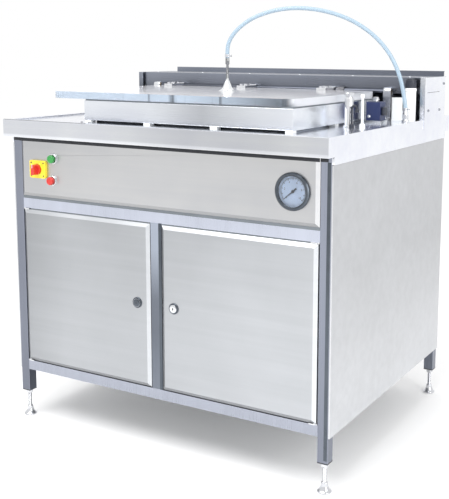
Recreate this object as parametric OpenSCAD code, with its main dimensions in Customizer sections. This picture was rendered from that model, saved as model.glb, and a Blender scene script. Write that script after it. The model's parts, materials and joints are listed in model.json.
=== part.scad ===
// Vacuum chamber sealer on a stainless cabinet, with a flat hinged lid.
// X is width, -Y is the operator's side, Z is up from the floor.

/* [Cabinet] */
// Width over the corner posts
frame_w = 1046; // [900:1:1200]
// Depth over the corner posts
frame_d = 830; // [780:1:900]
// Side of the square frame tube
tube = 30; // [25:1:40]
// Wall of the square frame tube
tube_wall = 2; // [1.5:0.5:3]
// Lower end of the corner posts
post_z0 = 83; // [70:1:120]
// Underside of the bottom rails
rail_z0 = 151; // [130:1:200]
// Top of the rail above the doors
mid_rail_z1 = 685; // [640:1:720]
// Thickness of the folded sheet
sheet = 2; // [1:0.5:3]

/* [Worktop] */
// Highest point of the worktop, at its raised rim
table_z = 920; // [880:1:960]
// Height of the rim above the deck
rim_h = 4; // [2:0.5:8]
// Width of the raised rim
rim_w = 22; // [15:1:40]
// Height of the front and rear aprons
apron_h = 50; // [40:1:60]
// Height of the side skirts
skirt_h = 70; // [60:1:80]
// Overhang at the front and the rear
overhang_y = 36; // [20:1:50]
// Overhang at each side
overhang_x = 7; // [6:1:20]

/* [Doors and panel] */
// Lower edge of the doors
door_z0 = 184; // [170:1:200]
// Upper edge of the doors
door_z1 = 651; // [600:1:652]
// How far the doors and the panel stand proud of the posts
proud = 6; // [3:0.5:10]
// Width of the bevel round the doors and the panel
bevel = 10; // [5:1:15]
// Middle of the centre post, from the middle of the cabinet
centre_post_x = -6.5; // [-30:0.5:30]
// Width of the centre post
centre_post_w = 37; // [30:1:50]
// Lower edge of the control panel
panel_z0 = 693; // [690:1:720]

/* [Chamber] */
// Width of the chamber
chamber_w = 681; // [500:1:700]
// Depth of the chamber
chamber_d = 535; // [400:1:540]
// Height of the chamber's side walls
chamber_h = 56; // [40:1:80]
// Middle of the chamber, from the middle of the cabinet
chamber_x = 47.5; // [-20:0.5:48]
// Gap between the deck and the chamber
chamber_gap = 7; // [5:1:15]
// Height of the silicone gasket
gasket_h = 4; // [3:0.5:6]
// Depth of the well below the chamber's side walls
well_h = 65; // [30:1:90]

/* [Lid] */
// Width of the clear lid
lid_w = 818; // [700:1:830]
// Depth of the clear lid
lid_d = 555; // [540:1:556]
// Thickness of the clear lid
lid_t = 20; // [15:1:25]
// Corner radius of the lid
lid_r = 50; // [5:1:55]
// Diameter of the hinge shaft
shaft_d = 12; // [10:1:16]

/* [Hose] */
// Outer diameter of the hose
hose_d = 12; // [8:1:16]
// Top of the metal stem that carries the hose
stem_z = 1101; // [1080:1:1101]

/* [Hidden] */
$fn = 64;

side_x = frame_w / 2;
front_y = -frame_d / 2;
back_y = frame_d / 2;
deck_z = table_z - rim_h;
top_x = side_x + overhang_x;
top_y = back_y + overhang_y;
panel_y = front_y - proud;
gap = 1.5;
run = 0.05;

// Doors: outer edges next to the posts, inner edges next to the centre post
door_out = side_x - tube - 4;
panel_out = side_x - tube - 1;
panel_z1 = 882;
left_door_x1 = centre_post_x - centre_post_w / 2 - gap;
right_door_x0 = centre_post_x + centre_post_w / 2 + gap;
flange = 18;
pivot_in = 6;
pivot_y = front_y + 2;
pivot_d = 6;
latch_z = 424;
latch_in = 42;
cam_len = 60;
cam_t = 3;
cam_w = 18;
cam_nut_r = 6;
cam_nut_t = 6;
barrel_r = 9.5;
head_r = 12;
head_t = 4;
bracket_w = 23;
bracket_d = 20;
bracket_in = 9;
pin_len = 16;
hinge_gap = 0.5;

// Chamber
ch_x0 = chamber_x - chamber_w / 2;
ch_x1 = chamber_x + chamber_w / 2;
ch_y0 = front_y + 50;
ch_y1 = ch_y0 + chamber_d;
ch_z0 = deck_z + chamber_gap;
ch_z1 = ch_z0 + chamber_h;
ch_wall = 4;
ch_flange = 18;
plinth_in = 24;
plinth_w = 14;
spacer = 22;
spacer_in = 12;
spacer_x = [ch_x0 + spacer_in, -72, 148, ch_x1 - spacer_in];
well_in = 64;
well_wall = 3;
well_lip = 12;
well_z0 = ch_z0 - well_h;
lid_z0 = ch_z1 + gasket_h;
lid_z1 = lid_z0 + lid_t;
lid_x0 = ch_x1 - lid_w;
lid_y1 = ch_y0 + lid_d;

// Suction port in the well's floor, over the pump's inlet
port_at = [130, 50];
port_r = 14;

// Vacuum pump, standing on the cabinet's floor
pump_z0 = rail_z0 + tube + sheet;
pump_top = 190;
inlet_z = pump_z0 + pump_top + 26;
inlet_r = 22;
motor_y = 60;
motor_z = pump_z0 + 125;
motor_r = 78;
cowl_x0 = -352;
cowl_x1 = -300;
pump_x0 = -60;
pump_x1 = 170;
filter_x = 250;
exhaust_y = 50;
exhaust_r = 48;

// Seal bar
bar_w = 30;
bar_y = ch_y0 + 40;
bar_x0 = ch_x0 + 41;
bar_x1 = ch_x1 - 40;
bar_z0 = ch_z0 + 19;
bar_h = 20;
band_h = 3;
lifter_r = 20;
plunger_r = 8;
counter_h = 12;
lifter_x = [bar_x0 + 90, bar_x1 - 90];

// Lid hinge
hinge_y = lid_y1 + 17;
hinge_z = lid_z1;
arm_x = [-350, -63, 224];
arm_w = 32;
arm_t = 8;
arm_len = 77;
knuckle_r = 11;
bolt_r = 4;
ped_x = [-445, 415];
ped_w = 24;
bush_r = 8;
spring_r = 9.5;
wire = 3;
spring_turns = 6;
spring_pitch = 3.6;

// Rear hood
hood_y = hinge_y + 14;
hood_z0 = 996;
hood_z1 = 1046;
upstand_y = back_y - 10;
upstand_z1 = 1062;
upstand_x0 = 20 - side_x;
upstand_x1 = side_x;
hood_lip = 16;
upstand_in = top_x - rim_w - 1;
end_z0 = 892;
end_y0 = hood_y - 11;
end_y1 = back_y - 20;

// Hose route, from the stem to the socket, in the vertical plane that holds both
stem = [0, -53];
socket = [495, 145];
socket_z1 = deck_z + 34;

// Fittings on the deck
filter_at = [491, 197];
filter_r = 16;
filter_h = 99;
second_bowl_at = [456, 178];
second_bowl_h = 70;
bowl_foot_h = 4;
cap_h = 24;
coil_at = [430, 75];
coil_h = 54;
core_r = 6;
block_h = 8;
riser_at = [430, -115];
riser_r = 12;
riser_h = 80;

// Controls
gauge_at = [419, 778];
gauge_r = 48.5;
gauge_body_r = 43.4;
pointer_r = 1;
dial_r = 41;
dial_z = -3;
glass_z = 4;
glass_t = 2;
ring_z = 8;
switch_at = [-421, 776.5];
switch_plate_w = 60;
switch_plate_h = 52;
switch_plate_t = 8;
knob_r = 15;
knob_base_t = 8;
grip_w = 11;
knob_shaft_r = 4;
green_at = [-366.5, 809.5];
red_at = [-371, 745.5];
panel_hole_r = 11.25;
bezel_r = 15;
bezel_t = 2.5;
button_travel = 4;
cap_r = 12;
cap_t = 4;
cap_stem_r = 8;
contact_y = panel_y + 26;

// Feet
foot_d = 38;
spindle_d = 12;
foot_inset = tube / 2;

module block(a, b) {
    translate(a) cube(b - a);
}

// A square tube between two corners, open at both ends along one axis
module tube_bar(a, b, axis) {
    w = tube_wall;
    in = [axis == 0 ? -1 : w, axis == 1 ? -1 : w, axis == 2 ? -1 : w];
    difference() {
        block(a, b);
        block(a + in, b - in);
    }
}

// A cylinder along +Y from y0 to y1
module cyl_y(x, z, r, y0, y1) {
    translate([x, y0, z]) rotate([-90, 0, 0]) cylinder(r = r, h = y1 - y0);
}

// A cylinder along +X from x0 to x1
module cyl_x(y, z, r, x0, x1) {
    translate([x0, y, z]) rotate([0, 90, 0]) cylinder(r = r, h = x1 - x0);
}

module rounded_square(size, r) {
    translate([r, 0]) square([size.x - 2 * r, size.y]);
    translate([0, r]) square([size.x, size.y - 2 * r]);
    for (x = [r, size.x - r]) for (y = [r, size.y - r]) translate([x, y]) circle(r = r);
}

// A rectangular ring standing on z0
module ring(x0, y0, x1, y1, w, z0, z1) {
    difference() {
        block([x0, y0, z0], [x1, y1, z1]);
        block([x0 + w, y0 + w, z0 - 1], [x1 - w, y1 - w, z1 + 1]);
    }
}

// A solid whose front face is bevelled on all four edges
module bevelled(x0, z0, x1, z1, y_front, y_back, b) {
    intersection() {
        translate([0, 0, z0]) linear_extrude(z1 - z0) polygon([
            [x0 + b, y_front], [x1 - b, y_front], [x1, front_y], [x1, y_back], [x0, y_back], [x0, front_y]]);
        translate([x0, 0, 0]) rotate([90, 0, 90]) linear_extrude(x1 - x0) polygon([
            [y_front, z0 + b], [y_front, z1 - b], [front_y, z1], [y_back, z1], [y_back, z0], [front_y, z0]]);
    }
}

// A folded pan with a bevelled front, open at the back
module pan(x0, z0, x1, z1) {
    difference() {
        bevelled(x0, z0, x1, z1, panel_y, front_y + flange, bevel);
        translate([0, sheet, 0])
            bevelled(x0 + sheet, z0 + sheet, x1 - sheet, z1 - sheet, panel_y, front_y + flange + 1, bevel);
    }
}

// A round bar that follows a list of points, with its sections turned about one reference direction
function unit(v) = v / norm(v);
function tangent(p, i) = unit(p[min(i + 1, len(p) - 1)] - p[max(i - 1, 0)]);
function section(p, i, ref, r, n) =
    let (t = tangent(p, i), a = unit(cross(t, ref)), b = cross(t, a))
    [for (k = [0:n - 1]) p[i] + r * (cos(360 * k / n) * a + sin(360 * k / n) * b)];
module sweep(p, ref, r, n) {
    m = len(p);
    sections = [for (i = [0:m - 1]) each section(p, i, ref, r, n)];
    sides = [for (i = [0:m - 2]) for (k = [0:n - 1])
        let (k2 = (k + 1) % n) [i * n + k, i * n + k2, (i + 1) * n + k2, (i + 1) * n + k]];
    ends = [[for (k = [n - 1:-1:0]) k], [for (k = [0:n - 1]) (m - 1) * n + k]];
    polyhedron(points = sections, faces = concat(sides, ends));
}

// ---------------------------------------------------------------- frame

module corner_posts() {
    color("LightSteelBlue") for (x = [-side_x, side_x - tube]) for (y = [front_y, back_y - tube])
        tube_bar([x, y, post_z0], [x + tube, y + tube, deck_z - sheet], 2);
}

module frame_rails() {
    in_x = side_x - tube;
    in_y = back_y - tube;
    top_z1 = deck_z - sheet;
    color("LightSteelBlue") {
        for (z = [rail_z0, mid_rail_z1 - tube, top_z1 - tube])
            tube_bar([-in_x, front_y, z], [in_x, front_y + tube, z + tube], 0);
        for (z = [rail_z0, top_z1 - tube]) {
            tube_bar([-in_x, in_y, z], [in_x, back_y, z + tube], 0);
            for (x = [-side_x, side_x - tube]) tube_bar([x, -in_y, z], [x + tube, in_y, z + tube], 1);
        }
    }
}

module centre_post() {
    x0 = centre_post_x - centre_post_w / 2;
    color("LightSteelBlue")
        tube_bar([x0, front_y, rail_z0 + tube], [x0 + centre_post_w, front_y + tube, mid_rail_z1 - tube], 2);
}

module at_feet() {
    for (x = [-1, 1]) for (y = [-1, 1])
        translate([x * (side_x - foot_inset), y * (back_y - foot_inset), 0]) children();
}

module leg_plugs() {
    plug = tube - 2 * tube_wall;
    color("DimGray") at_feet() difference() {
        union() {
            translate([0, 0, post_z0 - 1.5]) cube([tube, tube, 3], center = true);
            translate([0, 0, post_z0 + 10]) cube([plug, plug, 20], center = true);
        }
        translate([0, 0, post_z0 - 5]) cylinder(d = spindle_d + 2 * run, h = 40);
    }
}

module foot_nuts() {
    color("Silver") at_feet() difference() {
        translate([0, 0, post_z0 - 13]) cylinder(d = 21.9, h = 10, $fn = 6);
        translate([0, 0, post_z0 - 20]) cylinder(d = spindle_d + 2 * run, h = 40);
    }
}

// A bell-shaped levelling foot with its threaded spindle
module foot(x, y) {
    color("Silver") translate([x * (side_x - foot_inset), y * (back_y - foot_inset), 0])
        rotate_extrude() polygon([
            [0, 0], [foot_d / 2, 0], [foot_d / 2, 3], [foot_d / 2 - 2, 5], [14, 9], [10.5, 15], [9, 22],
            [9, 26], [spindle_d / 2, 28], [spindle_d / 2, 165], [spindle_d / 2 - 1.5, 166.5], [0, 166.5]]);
}
module foot_front_left() { foot(-1, -1); }
module foot_front_right() { foot(1, -1); }
module foot_rear_left() { foot(-1, 1); }
module foot_rear_right() { foot(1, 1); }

// ---------------------------------------------------------------- panels

// Shallow pans that cover the sides of the frame, flanged against the tubes
module side_panels() {
    z1 = table_z - skirt_h - 1;
    color("Gainsboro") for (s = [0, 1]) mirror([s, 0, 0]) difference() {
        block([side_x, front_y, rail_z0], [side_x + 4, back_y, z1]);
        block([side_x - 1, front_y + sheet, rail_z0 + sheet], [side_x + 2, back_y - sheet, z1 - sheet]);
    }
}

module rear_panel() {
    z1 = table_z - apron_h - 2;
    color("Gainsboro") difference() {
        block([-side_x, back_y, rail_z0], [side_x, back_y + 4, z1]);
        block([-side_x + sheet, back_y - 1, rail_z0 + sheet], [side_x - sheet, back_y + 2, z1 - sheet]);
    }
}

module cabinet_floor() {
    z = rail_z0 + tube;
    in_x = side_x - tube - 1;
    in_y = back_y - tube - 1;
    color("Silver") {
        block([-in_x, -in_y, z], [in_x, in_y + 24, z + sheet]);
        block([-in_x - 24, -in_y, z], [in_x + 24, in_y, z + sheet]);
    }
}

module control_panel() {
    color("Gainsboro") difference() {
        union() {
            pan(-panel_out, panel_z0, panel_out, panel_z1);
            for (s = [0, 1]) mirror([s, 0, 0])
                block([panel_out - 1, front_y + 5, panel_z0 + 30],
                    [side_x - tube, front_y + 15, panel_z0 + 140]);
        }
        cyl_y(gauge_at.x, gauge_at.y, gauge_body_r + 0.1, panel_y - 1, front_y + 5);
        for (p = [switch_at, green_at, red_at]) cyl_y(p.x, p.y, panel_hole_r, panel_y - 1, front_y + 5);
    }
}

// Deck, raised rim, front and rear aprons and side skirts, folded from one sheet
module worktop() {
    lip = 14;
    cut_x0 = ch_x0 + well_in - 0.5;
    cut_x1 = ch_x1 - well_in + 0.5;
    cut_y0 = ch_y0 + well_in - 0.5;
    cut_y1 = ch_y1 - well_in + 0.5;
    color("Gainsboro") {
        difference() {
            block([-top_x, -top_y, deck_z - sheet], [top_x, top_y, table_z]);
            block([-top_x + rim_w, -top_y + rim_w, deck_z], [top_x - rim_w, top_y - rim_w, table_z + 1]);
            block([-top_x + sheet, -top_y + sheet, deck_z - sheet - 1],
                [top_x - sheet, -top_y + rim_w - sheet, table_z - sheet]);
            block([-top_x + sheet, top_y - rim_w + sheet, deck_z - sheet - 1],
                [top_x - sheet, top_y - sheet, table_z - sheet]);
            block([cut_x0, cut_y0, deck_z - 10], [cut_x1, cut_y1, deck_z + 10]);
        }
        for (s = [0, 1]) mirror([0, s, 0]) {
            block([-top_x, -top_y, table_z - apron_h], [top_x, -top_y + sheet, deck_z]);
            block([-top_x, -top_y, table_z - apron_h], [top_x, -top_y + lip, table_z - apron_h + sheet]);
        }
        for (s = [0, 1]) mirror([s, 0, 0])
            block([top_x - sheet, front_y, table_z - skirt_h], [top_x, back_y, deck_z]);
        for (s = [0, 1]) mirror([s, 0, 0])
            block([top_x - sheet, -top_y, table_z - apron_h], [top_x, top_y, deck_z]);
    }
}

// ---------------------------------------------------------------- rear housing

module rear_hood() {
    color("SlateGray") {
        block([-top_x, hood_y, hood_z0], [top_x, hood_y + sheet, hood_z1]);
        block([-top_x, hood_y, hood_z1 - sheet], [top_x, upstand_y, hood_z1]);
        block([-top_x, hood_y, hood_z0], [top_x, hood_y + hood_lip, hood_z0 + sheet]);
    }
}

module rear_upstand() {
    color("SlateGray") {
        block([upstand_x0, upstand_y, table_z], [upstand_x1, upstand_y + sheet, upstand_z1]);
        block([upstand_x0, upstand_y, deck_z], [upstand_in, upstand_y + sheet, table_z + 1]);
        block([upstand_x0, upstand_y, deck_z], [upstand_in, upstand_y + 14, deck_z + sheet]);
        block([upstand_x0, upstand_y, upstand_z1 - sheet], [upstand_x1, upstand_y + 8, upstand_z1]);
    }
}

// A plate at each end of the hood, lapped over the side skirt, with a front flange
module end_plates() {
    color("Gainsboro") for (s = [0, 1]) mirror([s, 0, 0]) {
        block([top_x, end_y0, end_z0], [top_x + sheet, end_y1, hood_z1]);
        block([top_x - 14, end_y0, table_z], [top_x + sheet, end_y0 + sheet, hood_z1]);
    }
}

// ---------------------------------------------------------------- chamber

module chamber_plinth() {
    color("Black") ring(ch_x0 + plinth_in, ch_y0 + plinth_in, ch_x1 - plinth_in, ch_y1 - plinth_in,
        plinth_w, deck_z, ch_z0);
}

module chamber_spacers() {
    half = [spacer / 2, spacer / 2, 0];
    up = [0, 0, chamber_gap];
    color("White") {
        for (x = spacer_x) for (y = [ch_y0 + spacer_in, ch_y1 - spacer_in])
            block([x, y, deck_z] - half, [x, y, deck_z] + half + up);
        for (x = [ch_x0 + spacer_in, ch_x1 - spacer_in]) {
            middle = [x, (ch_y0 + ch_y1) / 2, deck_z];
            block(middle - half, middle + half + up);
        }
    }
}

// The welded tray: side walls with an inturned flange, and a lipped well that drops through the deck
module chamber_tub() {
    w = ch_wall;
    q = well_in;
    v = well_in + well_wall;
    color("Gainsboro") {
        ring(ch_x0, ch_y0, ch_x1, ch_y1, w, ch_z0, ch_z1);
        ring(ch_x0, ch_y0, ch_x1, ch_y1, ch_flange, ch_z1 - w, ch_z1);
        ring(ch_x0, ch_y0, ch_x1, ch_y1, v + well_lip, ch_z0, ch_z0 + w);
        ring(ch_x0 + q, ch_y0 + q, ch_x1 - q, ch_y1 - q, well_wall, well_z0, ch_z0 + w);
        difference() {
            block([ch_x0 + q, ch_y0 + q, well_z0], [ch_x1 - q, ch_y1 - q, well_z0 + well_wall]);
            translate([port_at.x, port_at.y, well_z0 - 1]) cylinder(r = port_r, h = well_wall + 2);
        }
    }
}

module chamber_gasket() {
    color("DimGray") ring(ch_x0 + 3, ch_y0 + 3, ch_x1 - 3, ch_y1 - 3, 12, ch_z1, lid_z0);
}

// A loose board that raises small packs in the well
module filler_plate() {
    g = well_in + well_wall + well_lip + 3;
    z = well_z0 + well_wall;
    color("White") difference() {
        block([ch_x0 + g, ch_y0 + g, z], [ch_x1 - g, ch_y1 - g, z + 12]);
        translate([port_at.x, port_at.y, z - 1]) cylinder(r = port_r + 8, h = 14);
    }
}

module seal_lifters() {
    color("Silver") for (x = lifter_x) difference() {
        translate([x, bar_y, ch_z0 + ch_wall]) cylinder(r = lifter_r, h = 12);
        translate([x, bar_y, ch_z0 + ch_wall + 2]) cylinder(r = plunger_r + run, h = 12);
    }
}

module seal_bar() {
    color("Silver") {
        block([bar_x0, bar_y - bar_w / 2, bar_z0], [bar_x1, bar_y + bar_w / 2, bar_z0 + bar_h]);
        for (x = lifter_x) translate([x, bar_y, ch_z0 + ch_wall + 2])
            cylinder(r = plunger_r, h = bar_z0 - ch_z0 - ch_wall);
    }
}

module heating_band() {
    z = bar_z0 + bar_h;
    color("SaddleBrown") {
        block([bar_x0 + 8, bar_y - 11, z], [bar_x1 - 8, bar_y + 11, z + 1]);
        block([bar_x0 + 14, bar_y - 4, z + 1], [bar_x1 - 14, bar_y + 4, z + band_h]);
    }
}

// ---------------------------------------------------------------- lid

module lid_plate() {
    color("LightCyan") difference() {
        translate([lid_x0, ch_y0, lid_z0]) linear_extrude(lid_t) rounded_square([lid_w, lid_d], lid_r);
        at_lid_bolts() translate([0, 0, lid_z0 + 4]) cylinder(r = bolt_r + run, h = lid_t);
        translate([stem.x, stem.y, lid_z0 - 1]) cylinder(r = 4, h = lid_t + 2);
    }
}

module at_lid_bolts() {
    for (x = arm_x) for (dx = [-8, 8]) for (y = [lid_y1 - 42, lid_y1 - 16])
        translate([x + dx, y, 0]) children();
}

module counter_bar() {
    color("Tomato") {
        block([bar_x0, bar_y - 14, lid_z0 - 6], [bar_x1, bar_y + 14, lid_z0]);
        block([bar_x0 + 6, bar_y - 9, lid_z0 - counter_h], [bar_x1 - 6, bar_y + 9, lid_z0 - 6]);
    }
}

module hinge_arms() {
    color("Silver") difference() {
        for (x = arm_x) {
            block([x - arm_w / 2, hinge_y - arm_len, lid_z1], [x + arm_w / 2, hinge_y, lid_z1 + arm_t]);
            cyl_x(hinge_y, hinge_z, knuckle_r, x - arm_w / 2, x + arm_w / 2);
        }
        cyl_x(hinge_y, hinge_z, shaft_d / 2 + run, arm_x[0] - arm_w, arm_x[2] + arm_w);
        at_lid_bolts() translate([0, 0, lid_z1 - 1]) cylinder(r = bolt_r + run, h = arm_t + 2);
    }
}

module lid_bolts() {
    color("Silver") at_lid_bolts() {
        translate([0, 0, lid_z1 + arm_t]) cylinder(d = 13, h = 5, $fn = 6);
        translate([0, 0, lid_z0 + 5]) cylinder(r = bolt_r, h = lid_t + arm_t - 5);
    }
}

module hinge_shaft() {
    color("Silver") cyl_x(hinge_y, hinge_z, shaft_d / 2, ped_x[0] - ped_w / 2, ped_x[1] + ped_w / 2);
}

// Round-topped posts that carry the shaft
module hinge_pedestals() {
    color("Gainsboro") for (x = ped_x) difference() {
        union() {
            block([x - ped_w / 2, hinge_y - 12, deck_z], [x + ped_w / 2, hinge_y + 12, hinge_z]);
            cyl_x(hinge_y, hinge_z, 12, x - ped_w / 2, x + ped_w / 2);
            block([x - ped_w / 2, hinge_y - 30, deck_z], [x + ped_w / 2, hinge_y + 12, deck_z + 6]);
        }
        cyl_x(hinge_y, hinge_z, bush_r + run, x - ped_w, x + ped_w);
    }
}

module hinge_bushings() {
    color("Goldenrod") for (x = ped_x) difference() {
        cyl_x(hinge_y, hinge_z, bush_r, x - ped_w / 2, x + ped_w / 2);
        cyl_x(hinge_y, hinge_z, shaft_d / 2 + run, x - ped_w, x + ped_w);
    }
}

// Torsion springs round the shaft: one leg lies under a hinge arm, the other stands on the deck
function spring_path(x, s) =
    let (steps = 16, turns = spring_turns, last = spring_turns * spring_pitch)
    concat(
        [[x - s * 15, hinge_y - 14, hinge_z - 4], [x - s * 6, hinge_y - 13, hinge_z - 3.5]],
        [for (i = [0:steps * turns + steps / 2])
            let (a = 360 * i / steps)
            [x + s * spring_pitch * i / steps, hinge_y - spring_r * cos(a), hinge_z + spring_r * sin(a)]],
        [[x + s * (last + spring_pitch / 2), hinge_y + spring_r, hinge_z - 12],
         [x + s * (last + spring_pitch / 2), hinge_y + spring_r, deck_z]]);
module lid_springs() {
    color("DimGray") {
        sweep(spring_path(arm_x[0] - arm_w / 2 - 6, -1), [1, 0, 0], wire / 2, 8);
        sweep(spring_path(arm_x[2] + arm_w / 2 + 6, 1), [1, 0, 0], wire / 2, 8);
    }
}

// ---------------------------------------------------------------- hose

module hose_stem() {
    h = stem_z - lid_z1;
    color("Gainsboro") translate([stem.x, stem.y, lid_z1]) difference() {
        rotate_extrude() polygon([
            [0, 0], [21, 0], [21, 4], [15, 7], [11, 18], [7, 27], [5, 32], [4, 36],
            [4, h - 20], [6, h - 18], [6, h], [0, h]]);
        translate([0, 0, -1]) cylinder(r = 2, h = 200);
    }
}

// Points of the route: distance from the stem towards the socket, and height
route = [[0, 1101], [0, 1117], [1.5, 1136], [8, 1155], [21, 1175], [41, 1195], [68, 1214], [100, 1229],
    [136, 1240], [174, 1246.5], [213, 1248.5], [252, 1246], [291, 1239.5], [329, 1229], [366, 1214.5],
    [401, 1195], [433, 1171.5], [462, 1143], [486, 1110.5], [504.5, 1075], [518, 1037], [526.5, 1000],
    [531.5, 972], [533.1, 958], [533.1, 950]];
route_end = norm(socket - stem);
hose_dir = (socket - stem) / route_end;
hose_points = [for (p = route)
    [stem.x + hose_dir.x * p.x * route_end / 533.1, stem.y + hose_dir.y * p.x * route_end / 533.1, p.y]];
module vacuum_hose() {
    color("AliceBlue") sweep(hose_points, [-hose_dir.y, hose_dir.x, 0], hose_d / 2, 12);
}

module hose_socket() {
    color("White") translate([socket.x, socket.y, deck_z]) {
        cylinder(r = 12, h = 6);
        cylinder(r = 9, h = socket_z1 - deck_z);
        translate([0, 0, 10]) cylinder(d = 22, h = 12, $fn = 6);
    }
}

// ---------------------------------------------------------------- fittings on the deck

module bowl(at, h) {
    translate([at.x, at.y, deck_z]) {
        cylinder(r = filter_r, h = h);
        cylinder(r = filter_r + 1, h = bowl_foot_h);
    }
}

module filter_bowl() {
    color("White") {
        bowl(filter_at, filter_h);
        bowl(second_bowl_at, second_bowl_h);
    }
}

module filter_cap() {
    color("Black") translate([filter_at.x, filter_at.y, deck_z + filter_h]) {
        cylinder(r = filter_r, h = cap_h);
        cylinder(r = filter_r - 4, h = cap_h + 4);
    }
}

module solenoid_coil() {
    color("Black") translate([coil_at.x, coil_at.y, deck_z + block_h]) difference() {
        translate([-22, -20, 0]) cube([44, 40, coil_h]);
        translate([0, 0, -1]) cylinder(r = core_r + run, h = coil_h + 6);
    }
}

module valve_block() {
    color("Silver") translate([coil_at.x, coil_at.y, deck_z]) {
        translate([-26, -26, 0]) cube([52, 52, block_h]);
        cylinder(r = core_r, h = block_h + coil_h + 2);
        translate([0, 0, block_h + coil_h]) cylinder(d = 16, h = 5, $fn = 6);
    }
}

module vacuum_riser() {
    color("Gainsboro") translate([riser_at.x, riser_at.y, deck_z]) {
        cylinder(r = riser_r + 5, h = 5);
        cylinder(r = riser_r, h = riser_h);
        cylinder(r = riser_r - 3, h = riser_h + 6);
    }
}

// ---------------------------------------------------------------- controls

// Turned about the gauge's axis, with its face towards the operator
module gauge_turn() {
    translate([gauge_at.x, panel_y, gauge_at.y]) rotate([90, 0, 0]) children();
}

module gauge_case() {
    bore = pointer_r + run;
    color("DimGray") gauge_turn() rotate_extrude() polygon([
        [bore, dial_z - 10], [bore, dial_z], [dial_r, dial_z], [dial_r, glass_z], [dial_r + 1, glass_z],
        [dial_r + 1, glass_z + glass_t], [dial_r, glass_z + glass_t], [dial_r, ring_z], [gauge_r - 3, ring_z],
        [gauge_r, ring_z - 3], [gauge_r, 0], [gauge_body_r, 0], [gauge_body_r, -32], [8, -34], [8, -50],
        [4, -50], [4, dial_z - 10]]);
}

module gauge_dial() {
    color("AliceBlue") gauge_turn() translate([0, 0, dial_z]) difference() {
        cylinder(r = dial_r - 0.1, h = 1);
        translate([0, 0, -1]) cylinder(r = 1.5, h = 3);
    }
}

// The pointer rests at the low end of the scale
module gauge_needle() {
    rest = 220;
    color("Black") gauge_turn() translate([0, 0, dial_z]) {
        translate([0, 0, -8]) cylinder(r = pointer_r, h = 11);
        translate([0, 0, 2]) cylinder(r = 4, h = 1.6);
        rotate([0, 0, rest]) translate([0, 0, 2.4]) linear_extrude(0.8)
            polygon([[-13, -2.2], [-13, 2.2], [0, 1.6], [31, 0.6], [31, -0.6], [0, -1.6]]);
    }
}

module gauge_glass() {
    color("LightCyan") gauge_turn() translate([0, 0, glass_z + run])
        cylinder(r = dial_r + 1 - run, h = glass_t - 2 * run);
}

module switch_plate() {
    w = switch_plate_w;
    h = switch_plate_h;
    color("Gold") difference() {
        translate([switch_at.x - w / 2, panel_y, switch_at.y - h / 2]) rotate([90, 0, 0])
            linear_extrude(switch_plate_t) rounded_square([w, h], 5);
        cyl_y(switch_at.x, switch_at.y, knob_shaft_r + run, panel_y - 20, panel_y + 20);
    }
}

module switch_knob() {
    y1 = panel_y - switch_plate_t - 0.2;
    y0 = -top_y;
    color("Firebrick") {
        cyl_y(switch_at.x, switch_at.y, knob_r, y1 - knob_base_t, y1);
        cyl_y(switch_at.x, switch_at.y, knob_shaft_r, y1 - knob_base_t, panel_y + 12);
        intersection() {
            block([switch_at.x - grip_w / 2, y0, switch_at.y - knob_r],
                [switch_at.x + grip_w / 2, y1, switch_at.y + knob_r]);
            cyl_y(switch_at.x, switch_at.y, knob_r, y0, y1);
        }
    }
}

module button_bezels() {
    color("Silver") for (p = [green_at, red_at]) difference() {
        union() {
            cyl_y(p.x, p.y, bezel_r, panel_y - bezel_t, panel_y);
            cyl_y(p.x, p.y, panel_hole_r - 0.25, panel_y - bezel_t, contact_y);
        }
        cyl_y(p.x, p.y, cap_stem_r + run, panel_y - 5, contact_y - 2);
    }
}

// A push-button cap on its stem, standing clear of the bezel by more than its travel
module button_cap(p) {
    back = panel_y - bezel_t - button_travel - 1;
    cyl_y(p.x, p.y, cap_r, back - cap_t, back);
    cyl_y(p.x, p.y, cap_r - 2, back - cap_t - 1, back);
    cyl_y(p.x, p.y, cap_stem_r, back, panel_y + 16);
}
module green_button() { color("ForestGreen") button_cap(green_at); }
module red_button() { color("Crimson") button_cap(red_at); }

module contact_blocks() {
    half = 24;
    color("DimGray") {
        for (p = [green_at, red_at])
            block([p.x - 15, contact_y, p.y - 20], [p.x + 15, contact_y + 42, p.y + 20]);
        difference() {
            block([switch_at.x - half, panel_y + sheet, switch_at.y - half],
                [switch_at.x + half, contact_y + 30, switch_at.y + half]);
            cyl_y(switch_at.x, switch_at.y, knob_shaft_r + run, panel_y, panel_y + 14);
        }
    }
}

// ---------------------------------------------------------------- doors

// A door pan with a pivot block in its top and bottom outer corners; s is the side of the pivot
module door(x0, x1, s) {
    px = s < 0 ? x0 + pivot_in : x1 - pivot_in;
    lx = s < 0 ? x1 - latch_in : x0 + latch_in;
    bx0 = s < 0 ? x0 + sheet : x1 - 16;
    color("Gainsboro") difference() {
        union() {
            pan(x0, door_z0, x1, door_z1);
            for (z = [door_z0 + sheet, door_z1 - 20])
                block([bx0, front_y - 1.2, z], [bx0 + 14, front_y + 10, z + 18]);
        }
        for (z = [door_z0 - 1, door_z1 - 19])
            translate([px, pivot_y, z]) cylinder(d = pivot_d + 2 * run, h = 20);
        cyl_y(lx, latch_z, barrel_r + run, panel_y - 1, front_y + 5);
    }
}
module left_door() { door(-door_out, left_door_x1, -1); }
module right_door() { door(right_door_x0, door_out, 1); }

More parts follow.
